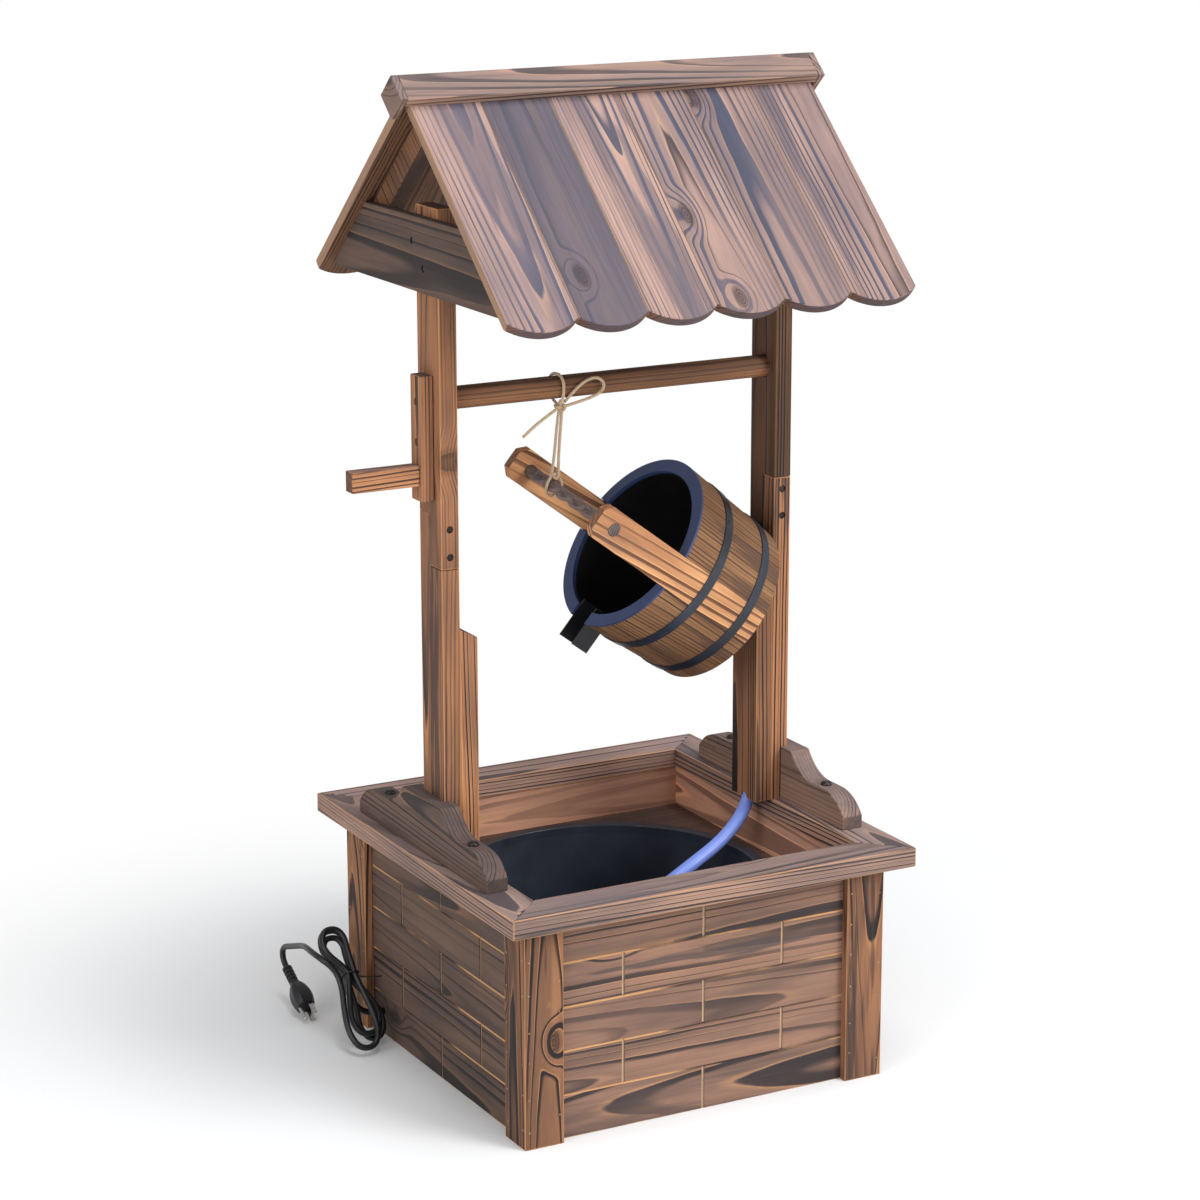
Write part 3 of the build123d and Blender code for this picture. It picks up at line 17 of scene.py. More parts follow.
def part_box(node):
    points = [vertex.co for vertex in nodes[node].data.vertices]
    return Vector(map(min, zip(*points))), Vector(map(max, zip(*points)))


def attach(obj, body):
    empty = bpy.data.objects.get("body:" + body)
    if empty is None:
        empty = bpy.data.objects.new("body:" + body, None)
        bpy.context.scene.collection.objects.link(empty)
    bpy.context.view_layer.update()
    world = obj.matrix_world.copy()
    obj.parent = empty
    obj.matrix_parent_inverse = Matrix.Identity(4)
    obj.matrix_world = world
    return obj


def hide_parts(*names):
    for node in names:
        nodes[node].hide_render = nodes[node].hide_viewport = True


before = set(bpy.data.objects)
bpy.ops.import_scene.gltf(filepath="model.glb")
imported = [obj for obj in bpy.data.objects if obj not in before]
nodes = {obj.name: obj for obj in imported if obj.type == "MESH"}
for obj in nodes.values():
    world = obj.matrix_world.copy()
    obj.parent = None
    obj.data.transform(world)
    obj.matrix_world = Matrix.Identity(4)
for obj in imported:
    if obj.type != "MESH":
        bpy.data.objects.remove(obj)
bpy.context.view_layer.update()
scene = bpy.context.scene

# %% [markdown]
# The camera stands where the photograph was taken from. It could be set by eye, but then every piece
# would look a little off. Its place and turn come from a fit of the well's straight edges, with an
# ordinary tele lens on a 36 mm sensor.

# %% Camera


def add_object(name, data):
    """A new object in the scene."""
    made = bpy.data.objects.new(name, data)
    scene.collection.objects.link(made)
    return made


camera_place = (-1.8435, -3.372, 1.5457)
yaw, down, roll = math.radians(-28.51), math.radians(14.52), math.radians(-0.07)
camera_data = bpy.data.cameras.new("camera")
camera_data.sensor_width = 36
camera_data.lens = 102.7
camera = add_object("camera", camera_data)
camera.matrix_world = (
    Matrix.Translation(camera_place) @ Matrix.Rotation(yaw, 4, "Z")
    @ Matrix.Rotation(math.pi / 2 - down, 4, "X") @ Matrix.Rotation(roll, 4, "Z"))
scene.camera = camera
print("camera", [round(c, 3) for c in camera.matrix_world.translation])

# %% [markdown]
# A cord is a fixed length of something that bends. It could be a row of cylinders, but those kink at
# each joint. Here it is one open NURBS spline, whose control points are those of the CAD solid's route.
# Blender draws its round tube, and the same line without thickness is what the frame's check measures.

# %% Lines and tubes
tube_steps, line_steps, tube_roundness = 8, 24, 5


def nurbs(name, points, diameter):
    """One open NURBS spline, round when it has a diameter."""
    data = bpy.data.curves.new(name, "CURVE")
    data.dimensions = "3D"
    spline = data.splines.new("NURBS")
    spline.points.add(len(points) - 1)
    for spot, place in zip(spline.points, points):
        spot.co = (*place, 1)
    spline.order_u = 3
    spline.use_endpoint_u = True
    spline.resolution_u = tube_steps
    data.bevel_depth = diameter / 2
    data.bevel_resolution = tube_roundness
    data.use_fill_caps = True
    return add_object(name, data)


def as_mesh(curve):
    """The mesh that Blender draws for a curve, which is then removed."""
    mesh = bpy.data.meshes.new_from_object(curve)
    data = curve.data
    bpy.data.objects.remove(curve)
    bpy.data.curves.remove(data)
    return mesh


def drawn_line(points):
    """The points of the smooth line that Blender draws through a route."""
    bare = nurbs("line", points, 0)
    bare.data.resolution_u = bare.data.splines[0].resolution_u = line_steps
    mesh = as_mesh(bare)
    line = [vertex.co.copy() for vertex in mesh.vertices]
    bpy.data.meshes.remove(mesh)
    return line


def cord_tube(name, points, diameter):
    """The round tube that Blender draws along a route, kept as a mesh."""
    mesh = as_mesh(nurbs(name + "_curve", points, diameter))
    mesh.name = name
    for face in mesh.polygons:
        face.use_smooth = True
    return add_object(name, mesh)


def length_of(line):
    """How long a line of points is."""
    return sum((b - a).length for a, b in zip(line, line[1:]))


print("splines drawn in", tube_steps, "steps, measured in", line_steps)

# %% [markdown]
# The blue hose carries the water: from the pump over the tub's lip to the right plank, and up behind
# it. The mains cord goes from the pump out through the left wall, where a wire tie holds its hank. The
# routes repeat the CAD solids' points, so each tube lies where its solid is and clears what it passes.

# %% Hose and mains cord
hose_diameter, cord_diameter, tie_diameter = 0.016, 0.0074, 0.0018
hose_route = [
    (0, -0.014, 0.0835), (0, -0.014, 0.11), (0.009, -0.016, 0.14), (0.03, -0.019, 0.17),
    (0.06, -0.021, 0.194), (0.088, -0.02, 0.209), (0.114, -0.0175, 0.2215),
    (0.138, -0.014, 0.2325), (0.163, -0.009, 0.248), (0.184, -0.0035, 0.268),
    (0.1975, 0, 0.3), (0.1975, 0.0003, 0.35), (0.1975, 0, 0.41), (0.1975, 0.0003, 0.47),
    (0.1975, 0, 0.548)]
inside_route = [
    (0, 0.0241, 0.056), (0, 0.066, 0.056), (-0.024, 0.098, 0.05), (-0.064, 0.111, 0.06),
    (-0.098, 0.112, 0.092), (-0.11, 0.111, 0.134), (-0.113, 0.1095, 0.172),
    (-0.11102, 0.11102, 0.21998), (-0.128, 0.128, 0.244), (-0.15202, 0.15202, 0.244),
    (-0.169, 0.169, 0.21998), (-0.1695, 0.168, 0.172), (-0.17, 0.164, 0.134),
    (-0.17, 0.162, 0.098), (-0.17, 0.161, 0.06001), (-0.18099, 0.16, 0.04099),
    (-0.20001, 0.16, 0.03), (-0.223, 0.16, 0.03)]
outside_route = [
    (-0.2233, 0.16, 0.03), (-0.243, 0.159, 0.0295), (-0.259, 0.163, 0.041),
    (-0.265, 0.1705, 0.057), (-0.26639, 0.17611, 0.06891), (-0.26601, 0.18265, 0.07647),
    (-0.28165, 0.20007, 0.09659), (-0.28209, 0.21226, 0.11068), (-0.27371, 0.22017, 0.11982),
    (-0.25655, 0.21995, 0.11956), (-0.24914, 0.21103, 0.10926), (-0.25098, 0.1993, 0.09571),
    (-0.25761, 0.18244, 0.07622), (-0.25799, 0.1759, 0.06867), (-0.23367, 0.15237, 0.04149),
    (-0.23346, 0.13665, 0.02332), (-0.24174, 0.12638, 0.01145), (-0.25839, 0.12653, 0.01163),
    (-0.26541, 0.13797, 0.02485), (-0.2634, 0.14998, 0.04506), (-0.26639, 0.16983, 0.07434),
    (-0.26601, 0.17637, 0.0819), (-0.28312, 0.1899, 0.09753), (-0.28346, 0.19973, 0.10888),
    (-0.27684, 0.20612, 0.11626), (-0.26332, 0.20594, 0.11606), (-0.2575, 0.19876, 0.10776),
    (-0.25896, 0.1893, 0.09683), (-0.25761, 0.17617, 0.08166), (-0.25799, 0.16963, 0.0741),
    (-0.24072, 0.14758, 0.04863), (-0.24033, 0.13264, 0.03137), (-0.24955, 0.12292, 0.02014),
    (-0.26827, 0.12313, 0.02039), (-0.27628, 0.13403, 0.03298), (-0.27418, 0.14528, 0.05231),
    (-0.26639, 0.16356, 0.07978), (-0.26601, 0.1701, 0.08733), (-0.28583, 0.18631, 0.10606),
    (-0.28621, 0.19772, 0.11924), (-0.27858, 0.20512, 0.1278), (-0.26298, 0.20492, 0.12757),
    (-0.25626, 0.19659, 0.11794), (-0.25795, 0.18562, 0.10526), (-0.25761, 0.16989, 0.08709),
    (-0.25799, 0.16335, 0.07953), (-0.25017, 0.13499, 0.04677), (-0.24994, 0.11613, 0.02497),
    (-0.25978, 0.1038, 0.01073), (-0.27955, 0.10398, 0.01094), (-0.28787, 0.1177, 0.02679),
    (-0.28548, 0.13587, 0.04779), (-0.28033, 0.15149, 0.06843), (-0.2811, 0.16168, 0.08479),
    (-0.2876, 0.16885, 0.09612), (-0.297, 0.178, 0.104), (-0.298, 0.202, 0.105),
    (-0.2935, 0.227, 0.1015), (-0.288, 0.251, 0.095), (-0.2865, 0.274, 0.087),
    (-0.2855, 0.295, 0.0795), (-0.285, 0.3161, 0.0723), (-0.2852, 0.3209, 0.0624),
    (-0.285, 0.3176, 0.0519), (-0.285, 0.308, 0.0466)]
tie_route = [
    (-0.21, 0.165, 0.072), (-0.225, 0.165, 0.072), (-0.25206, 0.17545, 0.07365),
    (-0.25205, 0.1613, 0.08603), (-0.27201, 0.16233, 0.08721), (-0.27198, 0.18417, 0.06936),
    (-0.25195, 0.18433, 0.06954), (-0.25193, 0.16866, 0.08376)]
routes = {}
cords = {}
for name, route, diameter in (
        ("hose", hose_route, hose_diameter), ("power_cord_inside", inside_route, cord_diameter),
        ("power_cord_outside", outside_route, cord_diameter), ("cord_tie", tie_route, tie_diameter)):
    cords[name] = cord_tube(name + "_tube", route, diameter)
    routes[name] = drawn_line(route)
    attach(cords[name], "well")
    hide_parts(name)
    print(name, round(length_of(routes[name]), 4), "m")

# %% [markdown]
# Twine is three strands laid round each other. A bump on a round tube could show the twist, but its
# outline would stay smooth. Here each strand is a thin tube of its own that winds round the line, so
# the twist shows at the edges too. The line is cut into even steps first, which keeps the twist even.

# %% Rope
twine_diameter, twine_lay, twine_step = 0.0036, 0.011, 0.0009
strand_radius, strand_offset = twine_diameter * 0.33, twine_diameter * 0.21
strands, strand_sides, end_share = 3, 8, 0.45


def spaced(line, step):
    """The same line with its points a step apart."""
    total = length_of(line)
    count = max(2, round(total / step))
    wanted = [total * i / count for i in range(count + 1)]
    out, gone, k = [], 0.0, 0
    for want in wanted:
        while k < len(line) - 2 and gone + (line[k + 1] - line[k]).length < want:
            gone += (line[k + 1] - line[k]).length
            k += 1
        run = (line[k + 1] - line[k]).length
        share = min(1.0, (want - gone) / run) if run else 0.0
        out.append(line[k].lerp(line[k + 1], share))
    return out


def tube_faces(first, rings, sides):
    """The faces of a closed tube, from the number of its first point: its sides and its two ends."""
    faces = []
    for i in range(rings - 1):
        for k in range(sides):
            a, b = first + i * sides + k, first + i * sides + (k + 1) % sides
            faces.append((a, b, b + sides, a + sides))
    last = first + (rings - 1) * sides
    return faces + [tuple(first + k for k in reversed(range(sides))),
                    tuple(last + k for k in range(sides))]


def add_mesh(name, verts, faces):
    """A smooth mesh whose faces all look outwards."""
    mesh = bpy.data.meshes.new(name)
    mesh.from_pydata([tuple(v) for v in verts], [], faces)
    mesh.validate()
    work = bmesh.new()
    work.from_mesh(mesh)
    bmesh.ops.recalc_face_normals(work, faces=work.faces)
    work.to_mesh(mesh)
    work.free()
    for face in mesh.polygons:
        face.use_smooth = True
    return add_object(name, mesh)


def rope(name, line, closed=False):
    """Twisted strands that follow a line, drawn in a little at its ends."""
    last = len(line) - 1
    tangents = [(line[min(i + 1, last)] - line[max(i - 1, 0)]).normalized() for i in range(len(line))]
    side = tangents[0].orthogonal().normalized()
    stations, gone = [], 0.0
    for i, place in enumerate(line):
        if i:
            gone += (place - line[i - 1]).length
            side = (side - tangents[i] * side.dot(tangents[i])).normalized()
        stations.append((place, side.copy(), tangents[i].cross(side), gone))
    verts, faces = [], []
    for number in range(strands):
        faces += tube_faces(len(verts), len(line), strand_sides)
        for i, (place, x, y, gone) in enumerate(stations):
            turn = 2 * math.pi * (number / strands + gone / twine_lay)
            centre = place + strand_offset * (math.cos(turn) * x + math.sin(turn) * y)
            radius = strand_radius * (end_share if i in (0, last) and not closed else 1.0)
            for k in range(strand_sides):
                angle = turn + 2 * math.pi * k / strand_sides
                verts.append(centre + radius * (math.cos(angle) * x + math.sin(angle) * y))
    return add_mesh(name, verts, faces)


print("strands", strands, "of radius", round(strand_radius, 5), "m")

# %% [markdown]
# Jute twine holds up the bucket. It goes round the bucket's rod, up to a knot, once over the axle, and
# ends in a bow and a tail. A knot could be tied along the twine's own line, but its path is too small
# to be seen. So each knot is a closed line that passes over and under itself, pulled tight.

# %% Twine
sling_route = [
    (-0.0646, -0.00809, 0.7875), (-0.05028, 0.03382, 0.69961), (-0.04274, 0.03478, 0.68852),
    (-0.04267, 0.03655, 0.67278), (-0.06245, 0.0373, 0.67278), (-0.06252, 0.03553, 0.68852),
    (-0.05507, 0.034, 0.69961), (-0.0694, -0.00791, 0.7875), (-0.0665, -0.0151, 0.79592),
    (-0.066, -0.0151, 0.8231), (-0.069, 0.0151, 0.8231), (-0.07, 0.0151, 0.79441),
    (-0.067, -0.0035, 0.7875)]
bow_route = [
    (-0.06302, -0.00979, 0.79148), (-0.055, -0.018, 0.805), (-0.042, -0.0185, 0.815),
    (-0.027, -0.019, 0.8195), (-0.016, -0.019, 0.812), (-0.018, -0.0185, 0.8015),
    (-0.033, -0.018, 0.7955), (-0.05, -0.017, 0.7915), (-0.06217, -0.01138, 0.7875)]
tail_route = [
    (-0.07179, -0.01087, 0.78559), (-0.09, -0.0135, 0.7765), (-0.104, -0.013, 0.7675),
    (-0.117, -0.012, 0.7565)]
axle_knot, rod_knot = Vector((-0.067, -0.008, 0.7875)), Vector((-0.0527, 0.034, 0.6985))


def knot(name, centre, size, tilt):
    """A small overhand knot, pulled tight."""
    steps = 96
    turn = Matrix.Rotation(tilt, 3, "X") @ Matrix.Rotation(0.6, 3, "Z")
    line = []
    for i in range(steps + 1):
        t = 2 * math.pi * i / steps
        spot = Vector((math.sin(t) + 2 * math.sin(2 * t), math.cos(t) - 2 * math.cos(2 * t),
                       -1.6 * math.sin(3 * t)))
        line.append(centre + turn @ spot * size)
    return rope(name, line, closed=True)


for name, route in (("twine_sling", sling_route), ("twine_bow", bow_route), ("twine_tail", tail_route)):
    line = spaced(drawn_line(route), twine_step)
    routes[name] = line
    cords[name] = rope(name + "_rope", line)
    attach(cords[name], "well")
    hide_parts(name)
    print(name, round(length_of(line), 4), "m")
knots = [knot("knot_at_axle", axle_knot, 0.0019, 1.1), knot("knot_at_rod", rod_knot, 0.0016, 0.5)]
for piece in knots:
    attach(piece, "well")

# %% [markdown]
# A finish is a sum over places on the object. Nodes wired one by one would hide that sum, so a Socket
# stands for one output of a node, and ordinary arithmetic on Sockets adds the Math nodes. A Math node
# would turn a colour grey, so colours go through Mix and Vector Math nodes.

# %% Shader sockets


class Socket:
    """One output in a material's node tree, with arithmetic."""

    def __init__(self, tree, out):
        self.tree, self.out = tree, out

    def node(self, kind, inputs, out=0, **settings):
        """Any node: its settings first, then its inputs by name or number."""
        made = self.tree.nodes.new("ShaderNode" + kind)
        for key, value in settings.items():
            setattr(made, key, value)
        for key, value in inputs.items():
            if isinstance(value, Socket):
                self.tree.links.new(value.out, made.inputs[key])
            else:
                made.inputs[key].default_value = value
        return Socket(self.tree, made.outputs[out])

    def math(self, operation, *values):
        """A Math node of this and other values."""
        return self.node("Math", dict(enumerate((self, *values))), operation=operation)

    def __add__(self, other): return self.math("ADD", other)
    def __radd__(self, other): return self.math("ADD", other)
    def __sub__(self, other): return self.math("SUBTRACT", other)
    def __rsub__(self, other): return (self * -1) + other
    def __mul__(self, other): return self.math("MULTIPLY", other)
    def __rmul__(self, other): return self.math("MULTIPLY", other)
    def __truediv__(self, other): return self.math("DIVIDE", other)
    def __abs__(self): return self.math("ABSOLUTE")
    def floor(self): return self.math("FLOOR")
    def part(self): return self.math("FRACT")
    def root(self): return self.math("SQRT")
    def least(self, other): return self.math("MINIMUM", other)
    def most(self, other): return self.math("MAXIMUM", other)

    def step(self, low, high):
        """0 below low, 1 above high, smooth between."""
        return self.node("MapRange", {0: self, 1: low, 2: high, 3: 0.0, 4: 1.0},
                         interpolation_type="SMOOTHSTEP")

    def mix(self, first, second):
        """From the first colour at 0 to the second at 1."""
        return self.node("Mix", {0: self, 6: first, 7: second}, out=2, data_type="RGBA")

    def shade(self, amount):
        """This colour, made darker or lighter by a factor."""
        return self.node("VectorMath", {0: self, "Scale": amount}, operation="SCALE")

    def dot(self, direction):
        """How far this place is along a direction."""
        return self.node("VectorMath", {0: self, 1: tuple(direction)}, out=1,
                         operation="DOT_PRODUCT")

    def axes(self):
        """Its three coordinates, or a random colour's three numbers."""
        return [self.node("SeparateXYZ", {0: self}, out=i) for i in range(3)]

    def noise(self, along, u, v, detail=2.0, rough=0.5):
        """Noise of three scaled coordinates."""
        spot = self.node("CombineXYZ", {0: along, 1: u, 2: v})
        return self.node("TexNoise", {"Vector": spot, "Scale": 1.0, "Detail": detail,
                                      "Roughness": rough})


print("socket operations:", sum(callable(value) for value in vars(Socket).values()))

# %% [markdown]
# Each finish starts from one shader and from the place on the object in metres, so a ring 4 mm wide is
# 4 mm wide on every piece, and nothing is unwrapped. Colours are written as a screen shows them.

# %% Start and end of a material
bump_strength = 0.8


def rgb(red, green, blue):
    """A colour as seen on a screen, 0 to 255, for a node."""
    return tuple(((c / 255 + 0.055) / 1.055) ** 2.4 for c in (red, green, blue)) + (1.0,)


def begin(name):
    """A new material: its shader, the place on the object in metres, and the way the surface faces."""
    material = bpy.data.materials.new(name)
    material.use_nodes = True
    shader = material.node_tree.nodes["Principled BSDF"]
    start = Socket(material.node_tree, shader.outputs[0])
    return (material, shader, start.node("TexCoord", {}, out="Object"),
            start.node("TexCoord", {}, out="Normal"))


def finish(shader, colour, rough, height, depth):
    """Link the colour, the roughness and the bump, whose depth is in metres."""
    bump = height.node("Bump", {"Height": height, "Strength": bump_strength, "Distance": depth})
    for name, value in (("Base Color", colour), ("Roughness", rough), ("Normal", bump)):
        colour.tree.links.new(value.out, shader.inputs[name])


print("bare wood as a node has it:", [round(c, 3) for c in rgb(214, 186, 152)])

# %% [markdown]
# The well is fir that was scorched with a flame and brushed. The flame leaves the soft wood brown, the
# late wood of each ring nearly black and a light edge beside it; weather turns upper faces grey, and a
# painted sheen of sky lightens them further.
# One set of colours could serve all, but the boards differ, so each group has its own set, and a level
# makes the whole set lighter or darker.

# %% Wood tones


def tone_set(light, mid, dark, halo, char, top, level, wide=None):
    """Colours of soft wood, late wood, its edge, scorched patches, upper faces (weathered, with painted
    sky sheen) and wide late wood.
    """
    names = ("light", "mid", "dark", "halo", "char", "top", "wide")
    return {key: rgb(*(c * level for c in colour))
            for key, colour in zip(names, (light, mid, dark, halo, char, top, wide or dark))}


def charred(level=1.0):
    """Fir under the flame: posts, trims, frame and crank."""
    return tone_set((190, 132, 92), (134, 95, 72), (40, 31, 32), (226, 160, 102), (58, 47, 48),
                    (116, 102, 102), level)


def greyed(level=1.0):
    """Fir that has stood outside: rim, brackets, cap and gables."""
    return tone_set((172, 136, 116), (128, 106, 98), (56, 48, 50), (208, 156, 114), (78, 70, 72),
                    (118, 108, 112), level)


def walling(level=1.0):
    """The walls, with the widest scorched patches."""
    return tone_set((176, 134, 112), (134, 106, 94), (46, 42, 47), (228, 172, 118), (78, 70, 72),
                    (118, 104, 104), level)


def roofing(level=1.0):
    """The palest and greyest boards; the blue of their wide late wood and scorched patches is a painted
    sky reflection.
    """
    return tone_set((206, 168, 154), (154, 130, 130), (74, 58, 62), (226, 182, 150), (92, 88, 104),
                    (140, 130, 138), level, wide=(74, 82, 110))


def amber(level=1.0):
    """The bucket, which was flamed least."""
    return tone_set((206, 154, 108), (160, 112, 78), (80, 48, 36), (228, 178, 124), (102, 76, 64),
                    (168, 132, 110), level)


print("colours in a set:", ", ".join(charred()))

# %% [markdown]
# A tree's rings are cylinders round its pith. A picture of wood could be laid on each board, but then
# neighbours repeat and ends look wrong. Here the rings fill space round a pith that lies under each
# board, so flat faces show arches, edges show lines and ends show arcs. Noise bends the rings, and a
# knot pushes them aside, as a branch does.

# %% Knots and rings
X, Y, Z = (1, 0, 0), (0, 1, 0), (0, 0, 1)
knots_along, knots_across, knot_shuffle, other_board = 6, 12, 0.4, 9
knot_reach, knot_heart, knot_swell, ripple_depth = (0.03, 0.29), (0.06, 0.13), 0.0085, 0.0016
pith_below, pith_spread = 0.03, 0.05
quarter_beside, quarter_below, quarter_tilt = 0.035, 0.02, 0.06


def knots_near(place, a, u, far, board, chance, knotty, marks):
    """How far the nearest knot is. Most cells of the pattern hold none; marks are given one by one."""
    cells = place.node("CombineXYZ", {0: far * knots_along, 1: u * knots_across + chance[1] * 5, 2: 0.0})
    even = {"Vector": cells, "Scale": 1.0, "Randomness": knot_shuffle}
    away = place.node("TexVoronoi", even, voronoi_dimensions="2D")
    luck = place.node("TexVoronoi", even, out=1, voronoi_dimensions="2D").axes()[0]
    knot = away + (1 - luck.step(knotty, knotty + 0.02))
    for number, at_a, at_u in marks:
        off_a, off_u = (a - at_a) * knots_along, (u - at_u) * knots_across
        knot = knot.least((off_a * off_a + off_u * off_u).root() + abs(board - number) * other_board)
    return knot


def rings_round(place, a, u, v, far, chance, knot, spacing, bend, tilt, quarter):
    """Rings counted from the pith, which lies beside a quarter-sawn board; and their fine ripple."""
    warp = place.noise(far * 1.3, u * 6, v * 6, 1.0) - 0.5
    ripple = place.noise(far * 9, u * 48, v * 48, 2.0) - 0.5
    swell = 1 - knot.step(*knot_reach)
    lean = a * (chance[0] - 0.5)
    if quarter:
        pith_u = u + quarter_beside + chance[1] * pith_spread + lean * quarter_tilt
        pith_v = v + quarter_below
    else:
        pith_u = u - (chance[1] - 0.5) * pith_spread
        pith_v = v + pith_below + chance[2] * pith_spread + lean * tilt
    reach = (pith_u * pith_u + pith_v * pith_v).root()
    return (reach + warp * bend + ripple * ripple_depth + swell * knot_swell) / spacing, ripple


print("about", knots_along, "cells of knots along a metre,", knots_across, "across")

# %% [markdown]
# Within a ring the early wood is soft and light, and the late wood is hard and dark: slow to start and
# quick to end. One gradient could serve every ring, but years differ. So a random number for each ring
# says how thin its late wood is. A light edge follows it, where the flame has turned soft wood gold.

# %% Late wood
late_from, late_spread, late_rise, late_end, halo_width = 0.42, 0.42, 0.2, 0.965, 0.14


def late_wood(ring, seed):
    """Inside a ring: how thin its late wood is, where it is, and where the light edge is."""
    thin = ring.node("TexWhiteNoise", {"W": ring.floor() + seed}, noise_dimensions="1D")
    phase = ring.part()
    start = thin * late_spread + late_from
    rise = ring.node("MapRange", {0: phase, 1: start, 2: start + late_rise, 3: 0.0, 4: 1.0},
                     interpolation_type="SMOOTHSTEP")
    return thin, rise * (1 - phase.step(late_end, 1.0)), 1 - phase.step(0.0, halo_width)


print("late wood fills up to", round(late_end - late_from, 3), "of a ring")

# %% [markdown]
# Fibres and scorching lie over the figure. Fibres run far along the grain and change fast across it, so
# their noise is stretched. Scorched patches have noise of their own: with the fibres' they would only
# be darker fibres, but a flame passes over a board in clouds. Some boards got more of it than others.

# %% Fibres and scorching
fibre_waves, streak_waves, cloud_waves = (26, 620), (3.4, 130), (1.9, 26)
cloud_streaks, scorch_edge, least_scorch = 0.34, (0.53, 0.60), 0.3


def fibres(place, far, u, v):
    """Fine fibres and coarser streaks, from their waves per metre along and across the grain."""
    return [place.noise(far * slow, u * fast, v * fast, 3.0, rough)
            for (slow, fast), rough in ((fibre_waves, 0.6), (streak_waves, 0.62))]


def scorching(place, far, u, v, streak, luck, char, board, scorched):
    """How much a place is scorched. One board of several can be scorched all over."""
    slow, fast = cloud_waves
    cloud = place.noise(far * slow + 7, u * fast, v * fast, 4.0, 0.6) + (streak - 0.5) * cloud_streaks
    patch = cloud.step(*scorch_edge) * char * (luck.step(0.25, 0.75) * (1 - least_scorch) + least_scorch)
    if scorched is not None:
        whole = 1 - abs(board - scorched).step(0.3, 0.6)
        patch = patch.most(whole * (0.5 + cloud * 0.5))
    return patch


print("fibres", round(1000 / fibre_waves[1], 1), "mm apart, streaks", round(1000 / streak_waves[1], 1))

# %% [markdown]
# The finish is mixed in the order in which the real one came about: soft wood, its light edges and late
# wood, the flame, the knots' hearts, then weather on upper faces with a painted sheen of sky, cut ends,
# and wear at edges with a painted highlight. All could go into one ramp of colours, but then no layer
# could be changed alone. Brushing wears the soft wood down, so late wood stands up in the bump too.

# %% Wood
wood_bump, wood_gloss, edge_wear_and_highlight, outer_side = 0.0007, 0.32, (0.0004, 0.0019), (-0.1, 0.6)
fibre_shade, streak_shade, board_shade, plain_shade = 0.36, 0.62, 0.12, 0.45


def wood(name, lay, tones, seed, along=X, spacing=0.0042, char=0.5, bands=0.9, top=0.5, bend=0.010,
         edge=None, quarter=False, face=None, knotty=0.88, tilt=0.06, scorched=None, fade=0.0,
         marks=(), over=None):
    """Wood from a lay, which gives the ways along, across and into a board, and its number."""
    material, shader, place, normal = begin(name)
    a, u, v, board = lay(place)
    chance = place.node("TexWhiteNoise", {"W": board * 1.37 + seed * 7.13}, out=1,
                        noise_dimensions="1D").axes()
    far = a + chance[0] * 9 + seed
    knot = knots_near(place, a, u, far, board, chance, knotty, marks)
    ring, ripple = rings_round(place, a, u, v, far, chance, knot, spacing, bend, tilt, quarter)
    thin, late, halo = late_wood(ring, seed)
    fibre, streak = fibres(place, far, u, v)
    patch = scorching(place, far, u, v, streak, chance[1], char, board, scorched)
    shown = place.noise(far * 1.8 + 31, u * 9, v * 9).step(0.40, 0.54)
    blotch = place.noise(far * 4 + 3, u * 20, v * 20, 3.0)

    soft = (blotch.step(0.35, 0.65) * 0.7 + chance[2] * 0.4).least(1.0)
    colour = soft.mix(tones["light"], tones["mid"])
    colour = (halo * shown * 0.5).mix(colour, tones["halo"])
    dark = thin.step(0.25, 0.6).mix(tones["wide"], tones["dark"])
    colour = (late * (shown * (bands - 0.45) + 0.45)).mix(colour, dark)
    colour = patch.mix(colour, tones["char"])
    heart = 1 - knot.step(*knot_heart)
    colour = (heart * (0.45 + 0.5 * (knot * 34 + ripple * 3).part())).mix(colour, tones["dark"])
    # Upper faces mix towards a grey that is partly weathering and partly a painted reflection of the
    # sky.
    if top:
        up = normal.axes()[2].step(0.35, 0.95)
        colour = (up * top * (1 - late * 0.55)).mix(colour, tones["top"])
    if face:
        outward, inner = face
        under = 1 - normal.dot(outward).step(*outer_side)
        brown = (late * 0.7).mix(blotch.mix(inner["light"], inner["mid"]), inner["dark"])
        colour = under.mix(colour, brown)
    ends = abs(normal.dot(along)).step(0.75, 0.95)
    colour = (ends * 0.6).mix(colour, tones["char"])
    # Near an edge the wood turns light: partly wear, partly a painted highlight where a bevel would
    # catch light.
    if edge:
        worn_and_highlit = 1 - (edge(place) + ripple * 0.0025).step(*edge_wear_and_highlight)
        colour = (worn_and_highlit * 0.55).mix(colour, tones["halo"])
    colour = colour.shade(fibre * fibre_shade + streak * streak_shade + plain_shade
                          + chance[1] * board_shade - board * fade)
    if over:
        colour = over(place, colour)

    rough = 0.78 - late * 0.16 - patch * 0.1 + fibre * 0.1
    height = late * 0.55 + fibre * 0.30 + streak * 0.35 - heart * 0.3
    shader.inputs["Specular IOR Level"].default_value = wood_gloss
    finish(shader, colour, rough, height, wood_bump)
    return material


print("the wood's bump is", wood_bump * 1000, "mm deep")

# %% [markdown]
# Each piece says how its boards lie: which way the grain runs, which way is across the board and which
# way is into it. Boards side by side could be separate pieces. Here they are told apart by counting
# their pitch, so each gets its own figure while the CAD piece stays whole.

# %% How boards lie


def middle(name, direction):
    """The middle of a CAD node along a direction, in its own coordinates."""
    reach = [spot.co.dot(Vector(direction)) for spot in nodes[name].data.vertices]
    return (min(reach) + max(reach)) / 2


def flat(name, along, across, into, pitch=None, first=0.0, number=0):
    """How a node's boards lie: unit directions, and for boards side by side their pitch and start."""
    middle_u, middle_v = middle(name, across), middle(name, into)

    def lay(place):
        a, u, v = place.dot(along), place.dot(across), place.dot(into) - middle_v
        if pitch is None:
            return a, u - middle_u, v, v * 0 + number
        board = ((u + first) / pitch).floor()
        return a, u + first - (board + 0.5) * pitch, v, board + number
    return lay


